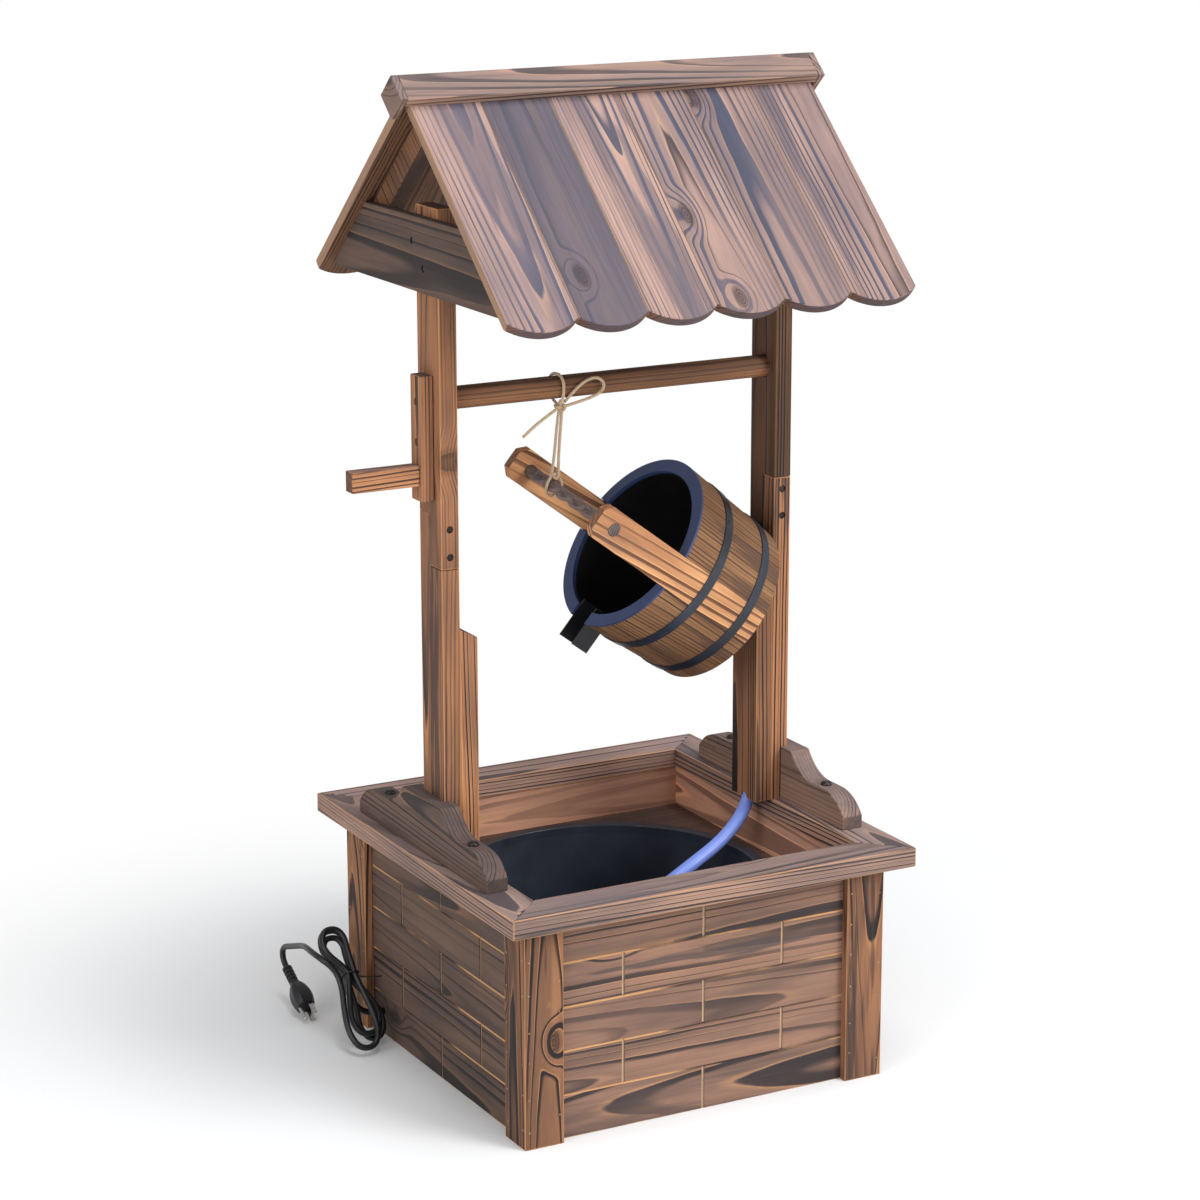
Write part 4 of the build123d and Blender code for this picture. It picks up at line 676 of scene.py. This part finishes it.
def corner(name, number):
    """How a corner trim's two boards lie: each is flat on its own side of the box."""
    middle_x, middle_y = middle(name, X), middle(name, Y)

    def lay(place):
        x, y, z = place.axes()
        side = abs(place.node("TexCoord", {}, out="Normal").axes()[0]).step(0.5, 0.6)
        x, y = x - middle_x, y - middle_y
        return z, side * y + (1 - side) * x, side * x + (1 - side) * y, side + number
    return lay


def board_edges(pitch, first, across):
    """How far a place is from the nearer joint of boards side by side."""
    return lambda place: (0.5 - abs(((place.dot(across) + first) / pitch).part() - 0.5)) * pitch


def box_edges(name):
    """How far a place on a square board is from its nearest edge: the middle one of three distances."""
    low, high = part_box(name)

    def distance(place):
        x, y, z = [(c - lo).least(hi - c) for c, lo, hi in zip(place.axes(), low, high)]
        return x.least(y).most(x.most(y).least(z))
    return distance


def paint(material, *pieces):
    """Give pieces, or CAD nodes by name, a material in place of their plain one."""
    for piece in pieces:
        piece = nodes[piece] if isinstance(piece, str) else piece
        if not piece.material_slots:
            piece.data.materials.append(material)
        for slot in piece.material_slots:
            slot.material = material


def plank(piece, name, ways, tones, seed, pitch=None, first=0.0, number=0, **more):
    """Paint a CAD node as wood. The ways are along its grain, across its boards and into them."""
    lay = flat(piece, *ways, pitch, first, number)
    paint(wood(name, lay, tones, seed, along=ways[0], **more), piece)


print("the front wall is centred at y", round(middle("wall_front", Y), 4))

# %% [markdown]
# Each wall is five boards, one above the other, with upright joints routed in so that it looks like
# brickwork. The grooves are real in the CAD solid, and the router went through the scorched skin, so
# they show bare wood. They could be painted by their places, but their depth behind the face finds them
# all with one measure, which also finds the wall's inner face: plain brown wood, brightened as painted
# light.

# %% Walls
wall_face, groove_lip, row = 0.223, 0.0007, 0.052
bare_wood, row_edge, row_shadow, inner_brown = (
    rgb(214, 186, 152), rgb(222, 172, 120), rgb(52, 38, 34), rgb(216, 150, 112))


def routed(along, outward):
    """What lies over a wall's wood: pale grooves, the lines between rows, and the plain brown inner
    face, brightened as painted light.
    """
    def over(place, colour):
        height, z = place.dot(outward), place.dot(Z)
        deep = (height.step(wall_face - 0.0045, wall_face - 0.0035)
                * (1 - height.step(wall_face - 0.0016, wall_face - groove_lip)))
        near_row = abs((z / row).part() - 0.5).step(0.470, 0.486)
        crumb = place.noise(place.dot(along) * 160, z * 160, 0.0, 3.0, 0.7)
        cut = deep * (1 - near_row)
        colour = (cut * (0.55 + crumb * 0.6)).least(1.0).mix(colour, bare_wood)
        joint = near_row * place.noise(place.dot(along) * 7, z * 3, 0.0).step(0.40, 0.55)
        colour = (joint * 0.85).mix(colour, row_edge)
        colour = (near_row * 0.55 * (1 - joint)).mix(colour, row_shadow)
        # The inner face is plain brown wood, and its colour is also brightened 2.8 times: painted light.
        plain_and_lit_inside = 1 - height.step(wall_face - 0.0106, wall_face - 0.0100)
        return plain_and_lit_inside.mix(colour, (plain_and_lit_inside * 0.35).mix(colour.shade(2.8), inner_brown))
    return over


for piece, seed, along, outward, tones, char in (
        ("wall_front", 3, X, (0, -1, 0), walling(0.88), 0.75),
        ("wall_back", 14, X, (0, 1, 0), walling(0.9), 0.7),
        # The left wall faces away from the lamps, and its darker, greyer tones are painted shade.
        ("wall_left", 5, Y, (-1, 0, 0), greyed(0.66), 0.8),
        ("wall_right", 8, Y, (1, 0, 0), walling(0.95), 0.6)):
    plank(piece, piece + "_wood", (along, Z, outward), tones, seed, row, char=char, spacing=0.0046,
          top=0, tilt=0.045, bend=0.016, over=routed(along, outward))
print("walls painted, rows", row, "m high")

# %% [markdown]
# Two narrow boards are nailed together at each corner, and the rim is a mitred frame laid over the
# walls.
# On brushed fir wear is more a change of colour than of shape, and bevels would catch light along the
# edges. So the wood turns light where a place is near an edge: wear, and a painted highlight for the
# bevels.

# %% Trims, rim, frame and ledge
for number, name in enumerate(("front_left", "front_right", "back_left", "back_right")):
    piece = f"corner_trim_{name}"
    paint(wood(f"trim_{name}_wood", corner(piece, number * 2), charred(0.88), 21 + number * 3, along=Z,
               char=0.75, bands=1.0, top=0.6, edge=box_edges(piece), knotty=0.80, spacing=0.0038,
               marks=((0, 0.122, 0.012),)), piece)
for number, (name, along, across, level) in enumerate((
        ("front", X, Y, 1.0), ("back", X, Y, 1.3), ("left", Y, X, 1.08), ("right", Y, X, 1.1))):
    piece = f"rim_board_{name}"
    plank(piece, f"rim_{name}_wood", (along, across, Z), greyed(level), 41 + number * 5,
          number=number, char=0.85, bands=0.95, top=0.5, edge=box_edges(piece))
plank("inner_frame", "frame_wood", (Z, X, Y), charred(0.8), 61)
plank("tub_ledge", "ledge_wood", (X, Y, Z), charred(0.8), 62)
low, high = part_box("rim_board_front")
print("rim from", round(low[2], 4), "to", round(high[2], 4), "m")

# %% [markdown]
# Each post is an upper and a lower length, half lapped and screwed, with a plank on its inner side and
# a sawn bracket on the rim. They could share one material, but each is a board of its own, with its own
# pith, knots and level, so each gets one.

# %% Posts and brackets
# The left bracket's lower level, 0.7, is painted shade on its side away from the lamps.
for number, (name, level) in enumerate((("bracket_left", 0.7), ("bracket_right", 0.95))):
    plank(name, name + "_wood", (Y, Z, X), greyed(level), 71 + number * 4, char=0.5, top=0.5)
posts = (("post_lower_left", 0.94), ("post_lower_right", 0.98), ("post_upper_left", 0.96),
         ("post_upper_right", 0.62), ("post_cover_left", 1.08), ("post_cover_right", 0.86))
for number, (name, level) in enumerate(posts):
    plank(name, name + "_wood", (Z, Y, X), charred(level), 81 + number * 3, number=number, char=0.75,
          bands=1.0, top=0.4, edge=box_edges(name), spacing=0.0038, tilt=0.04, knotty=0.8)
print("posts and planks:", len(posts))

# %% [markdown]
# The roof has six scalloped boards on each slope, under a cap. Rain and sun have made them the greyest
# wood of all, and their wide late wood is bluish, a painted reflection of the sky; their undersides stay
# brown. Chance can't put a knot where the photograph has one, so the front slope's three are given by
# board and place.

# %% Roof
roof_half, slope = 0.254, math.radians(42)
roof_board = 2 * roof_half / 6
down_front, out_front = (0, -math.cos(slope), -math.sin(slope)), (0, -math.sin(slope), math.cos(slope))
down_back, out_back = (0, math.cos(slope), -math.sin(slope)), (0, math.sin(slope), math.cos(slope))
seen_knots = ((1, -0.498, -0.017), (3, -0.569, -0.028), (3, -0.450, -0.011))
for name, seed, cap_seed, down, out, marks in (
        ("front", 4, 15, down_front, out_front, seen_knots), ("back", 9, 19, down_back, out_back, ())):
    plank("roof_boards_" + name, f"roof_{name}_wood", (down, X, out), roofing(0.84), seed, roof_board,
          roof_half, spacing=0.0036, char=0.6, top=0, edge=board_edges(roof_board, roof_half, X),
          face=(out, charred(0.72)), knotty=0.85, scorched=1, fade=0.04, marks=marks)
    plank("ridge_cap_" + name, f"cap_{name}_wood", (X, down, out), greyed(0.98), cap_seed, char=0.25)
plank("cap_end_plates", "cap_end_wood", (Y, Z, X), greyed(), 23, char=0.2)
for number, name in enumerate(("gable_board_left", "gable_board_right")):
    plank(name, name + "_wood", (Y, Z, X), greyed(0.70), 31 + number * 6, number=number, char=0.9,
          spacing=0.006)
plank("rafters", "rafter_wood", (down_front, X, out_front), charred(0.8), 35)
print("roof boards", round(roof_board, 4), "m wide, slope", round(math.degrees(slope)), "degrees")

# %% [markdown]
# The windlass is a dowel through both posts, turned by a wooden arm with a handle. Each is turned or
# sawn along its grain, so fine lines run along it, and round ends show whole rings.

# %% Windlass
plank("windlass_axle", "axle_wood", (X, Y, Z), charred(0.78), 51, char=0.4, top=0.3, bands=0.5)
plank("crank_arm", "crank_arm_wood", (Z, Y, X), charred(), 53, char=0.4)
plank("crank_handle", "crank_handle_wood", (X, Y, Z), charred(), 57, char=0.3)
print("axle height", round(middle("windlass_axle", Z), 4), "m")

# %% [markdown]
# The bucket is built of 16 staves between two long ears, and hangs tilted. Its wood is quarter-sawn, so
# it shows straight lines. World directions would cut across the staves, so the bucket has its own
# frame: z along its axis to the mouth, x up the slope of the mouth, y to the back. The angle round its
# axis tells one stave from the next.

# %% Bucket wood
bucket_x, bucket_y = Vector((0.59474, -0.11231, 0.79603)), Vector((0.03778, 0.993, 0.11188))
bucket_z, bucket_at = Vector((-0.80303, -0.03647, 0.59482)), Vector((0.03181, 0.0, 0.6145))
bucket = Matrix.Translation(bucket_at) @ Matrix((bucket_x, bucket_y, bucket_z)).transposed().to_4x4()
stave_count, stave_width, stave_radius = 16, 0.042, 0.106


def staves(place):
    """How the staves lie: each has its grain along the bucket's axis."""
    x = place.dot(bucket_x) - bucket_at.dot(bucket_x)
    y = place.dot(bucket_y) - bucket_at.dot(bucket_y)
    turn = y.math("ARCTAN2", x) / (2 * math.pi / stave_count)
    board = turn.floor()
    return (place.dot(bucket_z), (turn - board - 0.5) * stave_width,
            (x * x + y * y).root() - stave_radius, board)


paint(wood("stave_wood", staves, amber(0.76), 5, along=bucket_z, spacing=0.0046, char=0.7, bands=0.95,
           top=0.25, bend=0.006, quarter=True), "bucket_staves")
plank("bucket_ears", "ear_wood", (bucket_z, bucket_x, bucket_y), amber(1.12), 12, char=0.4,
      spacing=0.0065, top=0.0, bend=0.005, quarter=True, knotty=1.0)
plank("bucket_floor", "bucket_floor_wood", (bucket_x, bucket_y, bucket_z), amber(), 16, 0.05, 0.1,
      char=0.5, top=0)
print("bucket frame", [round(c, 3) for c in bucket_at])

# %% [markdown]
# The rod between the ears is a dowel carved with a twist, and round where it sits in the ears' holes. A
# fluted bar could be twisted by a modifier, but its ends would twist too. So its rings of points are
# worked out directly, with flutes that fade out before the ears.

# %% Twisted rod
rod_radius, rod_at, flute_depth, flute_turn = 0.0073, 0.107, 0.0024, 190
fluted_half, flute_fade, end_length, end_bevel = 0.083, 0.004, 0.001, 0.0008
rod_rings, rod_sides = 151, 36
rod_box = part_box("bucket_rod")
rod_half = (Vector(rod_box[1]) - Vector(rod_box[0])).y / 2 / bucket_y.y
rod_half -= 0.0075 * abs(bucket_z.y) + 0.0005
verts = []
for i in range(rod_rings):
    s = -rod_half + 2 * rod_half * i / (rod_rings - 1)
    fluted = min(1.0, max(0.0, (fluted_half - abs(s)) / flute_fade))
    end = min(1.0, (rod_half - abs(s)) / end_length)
    for k in range(rod_sides):
        angle = 2 * math.pi * k / rod_sides
        wave = 0.5 + 0.5 * math.cos(2 * angle - s * flute_turn)
        radius = rod_radius - fluted * flute_depth * wave ** 2 - (1 - end) * end_bevel
        verts.append(bucket @ Vector((radius * math.cos(angle), s, rod_at + radius * math.sin(angle))))
twisted_rod = add_mesh("twisted_rod", verts, tube_faces(0, rod_rings, rod_sides))
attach(twisted_rod, "well")
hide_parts("bucket_rod")
drift = tone_set((146, 126, 118), (112, 96, 94), (54, 46, 48), (168, 142, 126), (78, 70, 72),
                 (122, 110, 108), 1.0)
paint(wood("rod_wood", flat("bucket_rod", bucket_y, bucket_x, bucket_z), drift, 33, along=bucket_y,
           char=0.5, spacing=0.003), twisted_rod)
print("rod length", round(2 * rod_half, 4))

# %% [markdown]
# The tub, the spout and the pump are moulded plastic, the cups are rubber, the bands and screws are
# painted steel, and the cords have vinyl jackets. Each could have a recipe of its own, but they show
# use in the same way: faint mottling, light scuffs and a fine skin that breaks up the gloss. So one
# recipe makes them all, with colours, gloss and grain as its numbers.

# %% Plastics, steel, rubber and cord


def moulded(name, colour, second, rough=0.42, grain=900, depth=0.00008, scuff=0.5, metal=0.0,
            coat=0.0):
    """Moulded or painted: mottled between two colours, scuffed, and with a fine skin."""
    material, shader, place, _ = begin(name)
    x, y, z = place.axes()
    cloud = place.noise(x * 14, y * 14, z * 14, 4.0, 0.6)
    scuffs = place.noise(x * 70, y * 70, z * 420, 3.0, 0.65).step(0.56, 0.75) * scuff
    skin = place.noise(x * grain, y * grain, z * grain, 1.0)
    scuffed = tuple(min(1, c * 2.2 + 0.015) for c in colour[:3]) + (1,)
    mottled = (scuffs * 0.35).mix(cloud.step(0.3, 0.75).mix(colour, second), scuffed)
    shader.inputs["Metallic"].default_value = metal
    shader.inputs["Coat Weight"].default_value = coat
    finish(shader, mottled, rough + scuffs * 0.2 + cloud * 0.12 - 0.06, skin * 0.6 + cloud * 0.4, depth)
    return material


# The tub is black plastic; its blue-grey colours are a painted bluish sheen of sky.
paint(moulded("tub_plastic", rgb(42, 47, 58), rgb(58, 65, 80), 0.36, 700, 0.0001), "tub")
paint(moulded("black_plastic", rgb(20, 21, 25), rgb(32, 34, 40), 0.4), "bucket_spout", "hose_elbow",
      "pump_body", "pump_cover")
paint(moulded("grey_plastic", rgb(120, 124, 130), rgb(140, 144, 150), 0.45), "pump_flow_slider",
      "pump_impeller")
paint(moulded("cup_rubber", rgb(34, 34, 36), rgb(46, 46, 48), 0.62), "pump_suction_cups")
paint(moulded("hoop_steel", rgb(30, 32, 38), rgb(52, 58, 72), 0.38, 260, 0.00015, 0.9), "bucket_hoops")
paint(moulded("screw_steel", rgb(36, 34, 34), rgb(74, 62, 54), 0.36, 500, 0.0001, 0.8, 0.6),
      "bracket_bolts", "lap_screws", "roof_screws", "crank_screws")
paint(moulded("cord_vinyl", rgb(18, 18, 21), rgb(28, 28, 32), 0.38, 1100, 0.00005, 0.3), "plug_body",
      cords["power_cord_inside"], cords["power_cord_outside"], cords["cord_tie"])
paint(moulded("nickel", rgb(206, 204, 200), rgb(186, 184, 182), 0.24, 500, 0.00003, 0.6, 1.0),
      "plug_blades")
paint(moulded("hose_vinyl", rgb(136, 162, 250), rgb(118, 144, 234), 0.34, 800, 0.00006, 0.3, 0, 0.15),
      cords["hose"])
print("moulded and painted finishes ready")

# %% [markdown]
# The liner is one moulding: black inside the bucket, and dark blue on the flange over the staves' ends.
# Two pieces could carry the two colours, but the real one has no seam, so the colour changes with the
# height along the bucket's axis.

# %% Liner
flange_from, mottle_waves, skin_waves = (-0.0030, -0.0018), 30, 800
inside_black, flange_blue = (rgb(12, 12, 15), rgb(22, 22, 27)), (rgb(40, 54, 92), rgb(58, 76, 122))
liner, shader, place, _ = begin("liner_plastic")
height = place.dot(bucket_z) - bucket_at.dot(bucket_z)
x, y, z = place.axes()
mottle = place.noise(x * mottle_waves, y * mottle_waves, z * mottle_waves, 4.0)
skin = place.noise(x * skin_waves, y * skin_waves, z * skin_waves)
tint = height.step(*flange_from).mix(mottle.mix(*inside_black), mottle.mix(*flange_blue))
finish(shader, tint, 0.34 + mottle * 0.2, skin + mottle, 0.00008)
paint(liner, "bucket_liner")
print("flange from", round(-flange_from[0] * 1000, 1), "mm below the mouth")

# %% [markdown]
# Jute is matt, and its loose fibres catch light at a low angle. Loose hairs could be made one by one,
# but at this size they only soften the light, which the shader's sheen does. Fine noise colours the
# tufts from straw to brown.

# %% Jute
hair_waves, hair_waves_up, tuft_waves = 2600, 900, 420
jute, shader, place, _ = begin("jute")
x, y, z = place.axes()
hair = place.noise(x * hair_waves, y * hair_waves, z * hair_waves_up, 4.0, 0.7)
tuft = place.noise(x * tuft_waves, y * tuft_waves, z * tuft_waves, 3.0)
straw = (tuft * 0.9 + hair * 0.4 - 0.25).least(1.0).most(0.0)
tint = straw.mix(rgb(226, 202, 170), rgb(158, 126, 94))
shader.inputs["Sheen Weight"].default_value = 0.3
shader.inputs["Specular IOR Level"].default_value = 0.2
finish(shader, tint.shade(0.75 + hair * 0.5), hair * 0.2 + 0.75, hair + tuft, 0.0003)
for piece in knots + [cords["twine_sling"], cords["twine_bow"], cords["twine_tail"]]:
    paint(jute, piece)
print("soft materials ready")

# %% [markdown]
# Small nails hold the corner trims and the rim. They could be spots of colour, but a real head catches
# light, so each is a low dome of four rings that starts inside the wood. Their heights wobble a little,
# from seeded dice, as hand-driven nails do.

# %% Nails
dome_sides, dome_rings = 12, ((1.0, -0.2), (1.0, 0.35), (0.8, 0.8), (0.4, 1.0))
trim_face, outer_row, inner_row, rim_top = 0.234, 0.2285, 0.1905, 0.283
nail_levels = (0.022, 0.062, 0.102, 0.142, 0.182, 0.222)


def domes(name, spots, radius, rise):
    """Low round heads: each spot is a place on a face and the way out of it."""
    verts, faces = [], []
    for centre, out in spots:
        centre, out = Vector(centre), Vector(out).normalized()
        x = out.orthogonal().normalized()
        y = out.cross(x)
        faces += tube_faces(len(verts), len(dome_rings), dome_sides)
        for share, up in dome_rings:
            for k in range(dome_sides):
                angle = 2 * math.pi * k / dome_sides
                verts.append(centre + radius * share * (math.cos(angle) * x + math.sin(angle) * y)
                             + out * rise * up)
    piece = add_mesh(name, verts, faces)
    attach(piece, "well")
    return piece


dice = random.Random(7)
trim_spots = []
for side in (-1, 1):
    for front in (-1, 1):
        for level in nail_levels:
            wobble = dice.uniform(-0.004, 0.004)
            trim_spots += [
                ((side * outer_row, front * trim_face, level + wobble), (0, front, 0)),
                ((side * inner_row, front * trim_face, level - wobble + 0.012), (0, front, 0)),
                ((side * trim_face, front * outer_row, level - wobble), (side, 0, 0)),
                ((side * trim_face, front * inner_row, level + wobble), (side, 0, 0))]
trim_nails = domes("trim_nails", trim_spots, 0.0011, 0.0004)
paint(moulded("nail_bright", rgb(170, 150, 124), rgb(120, 96, 74), 0.35, 600, 0.00005, 0.4, 0.5),
      trim_nails)
rim_spots = [((sx * reach, sy * reach, rim_top), Z)
             for reach in (0.236, 0.246) for sx in (-1, 1) for sy in (-1, 1)]
rim_nails = domes("rim_nails", rim_spots, 0.0022, 0.0006)
paint(moulded("nail_worn", rgb(120, 116, 118), rgb(70, 64, 64), 0.3, 600, 0.00005, 0.6, 0.8), rim_nails)
print(len(trim_spots) + len(rim_spots), "nails")

# %% [markdown]
# The floor is a pale plane. It could be a bright one, but that would throw light up at the well. So its
# white comes from a glow that only camera, mirror and glass rays see, and only away from the well: near
# it the floor stays a plain matt surface that keeps the shadow.

# %% Floor
floor_half, shadow_end, glow_start = 9, 0.45, 1.1


def ray_is(start, *kinds):
    """1 for rays of these kinds, 0 for others."""
    seen = start.node("LightPath", {}, out=kinds[0])
    for kind in kinds[1:]:
        seen = seen.most(start.node("LightPath", {}, out=kind))
    return seen


def blend_shaders(factor, first, second, output):
    """From the first shader at 0 to the second at 1, as the surface of an output node."""
    blend = factor.node("MixShader", {0: factor, 1: first, 2: second})
    factor.tree.links.new(blend.out, factor.tree.nodes[output].inputs["Surface"])


corners = [(x * floor_half, y * floor_half, 0) for x, y in ((-1, -1), (1, -1), (1, 1), (-1, 1))]
floor_mesh = bpy.data.meshes.new("floor")
floor_mesh.from_pydata(corners, [], [(0, 1, 2, 3)])
floor = add_object("floor", floor_mesh)
material, shader, place, _ = begin("floor_white")
shader.inputs["Base Color"].default_value = (0.9, 0.9, 0.9, 1)
shader.inputs["Roughness"].default_value = 0.9
shader.inputs["Specular IOR Level"].default_value = 0.0
away = place.node("VectorMath", {0: place}, out=1, operation="LENGTH").step(shadow_end, glow_start)
seen = ray_is(place, "Is Camera Ray", "Is Glossy Ray", "Is Transmission Ray")
matt, glow = Socket(place.tree, shader.outputs[0]), place.node("Emission", {})
blend_shaders(away * seen, matt, glow, "Material Output")
floor.data.materials.append(material)
print("floor", 2 * floor_half, "m wide")

# %% [markdown]
# Soft lamps stand where a photographer's boxes would: a warm key to the right of the camera, a fill on
# the left and a cool one above. An image of a studio could light it too, but lamps keep the light plain
# and even. The world adds a low light from all sides, and shows white to the camera.

# %% Lights and world


def softbox(name, place, target, size, watts, tint=(1, 1, 1)):
    """A square lamp at a place that looks at a target."""
    data = bpy.data.lights.new(name, "AREA")
    data.shape, data.size, data.energy, data.color = "SQUARE", size, watts, tint
    light = add_object(name, data)
    light.location = place
    light.rotation_euler = (Vector(target) - Vector(place)).to_track_quat("-Z", "Y").to_euler()


softbox("key", (2.4, -4.0, 2.6), (0, 0, 0.6), 2.2, 150, (1.0, 0.985, 0.96))
softbox("fill", (-4.0, -1.8, 1.8), (0, 0, 0.6), 2.5, 60)
softbox("sky", (0.2, -1.2, 4.2), (0, 0, 0.8), 2.5, 110, (0.9, 0.95, 1.0))
world = bpy.data.worlds.new("world")
scene.world = world
world.use_nodes = True
start = Socket(world.node_tree, world.node_tree.nodes["Background"].outputs[0])
plain = start.node("Background", {"Color": (1, 1, 1, 1), "Strength": 0.45})
white = start.node("Background", {"Color": (1, 1, 1, 1)})
seen = ray_is(start, "Is Camera Ray", "Is Transmission Ray")
blend_shaders(seen, plain, white, "World Output")
scene.view_settings.view_transform = "Standard"
print("lights", len(bpy.data.lights))

# %% [markdown]
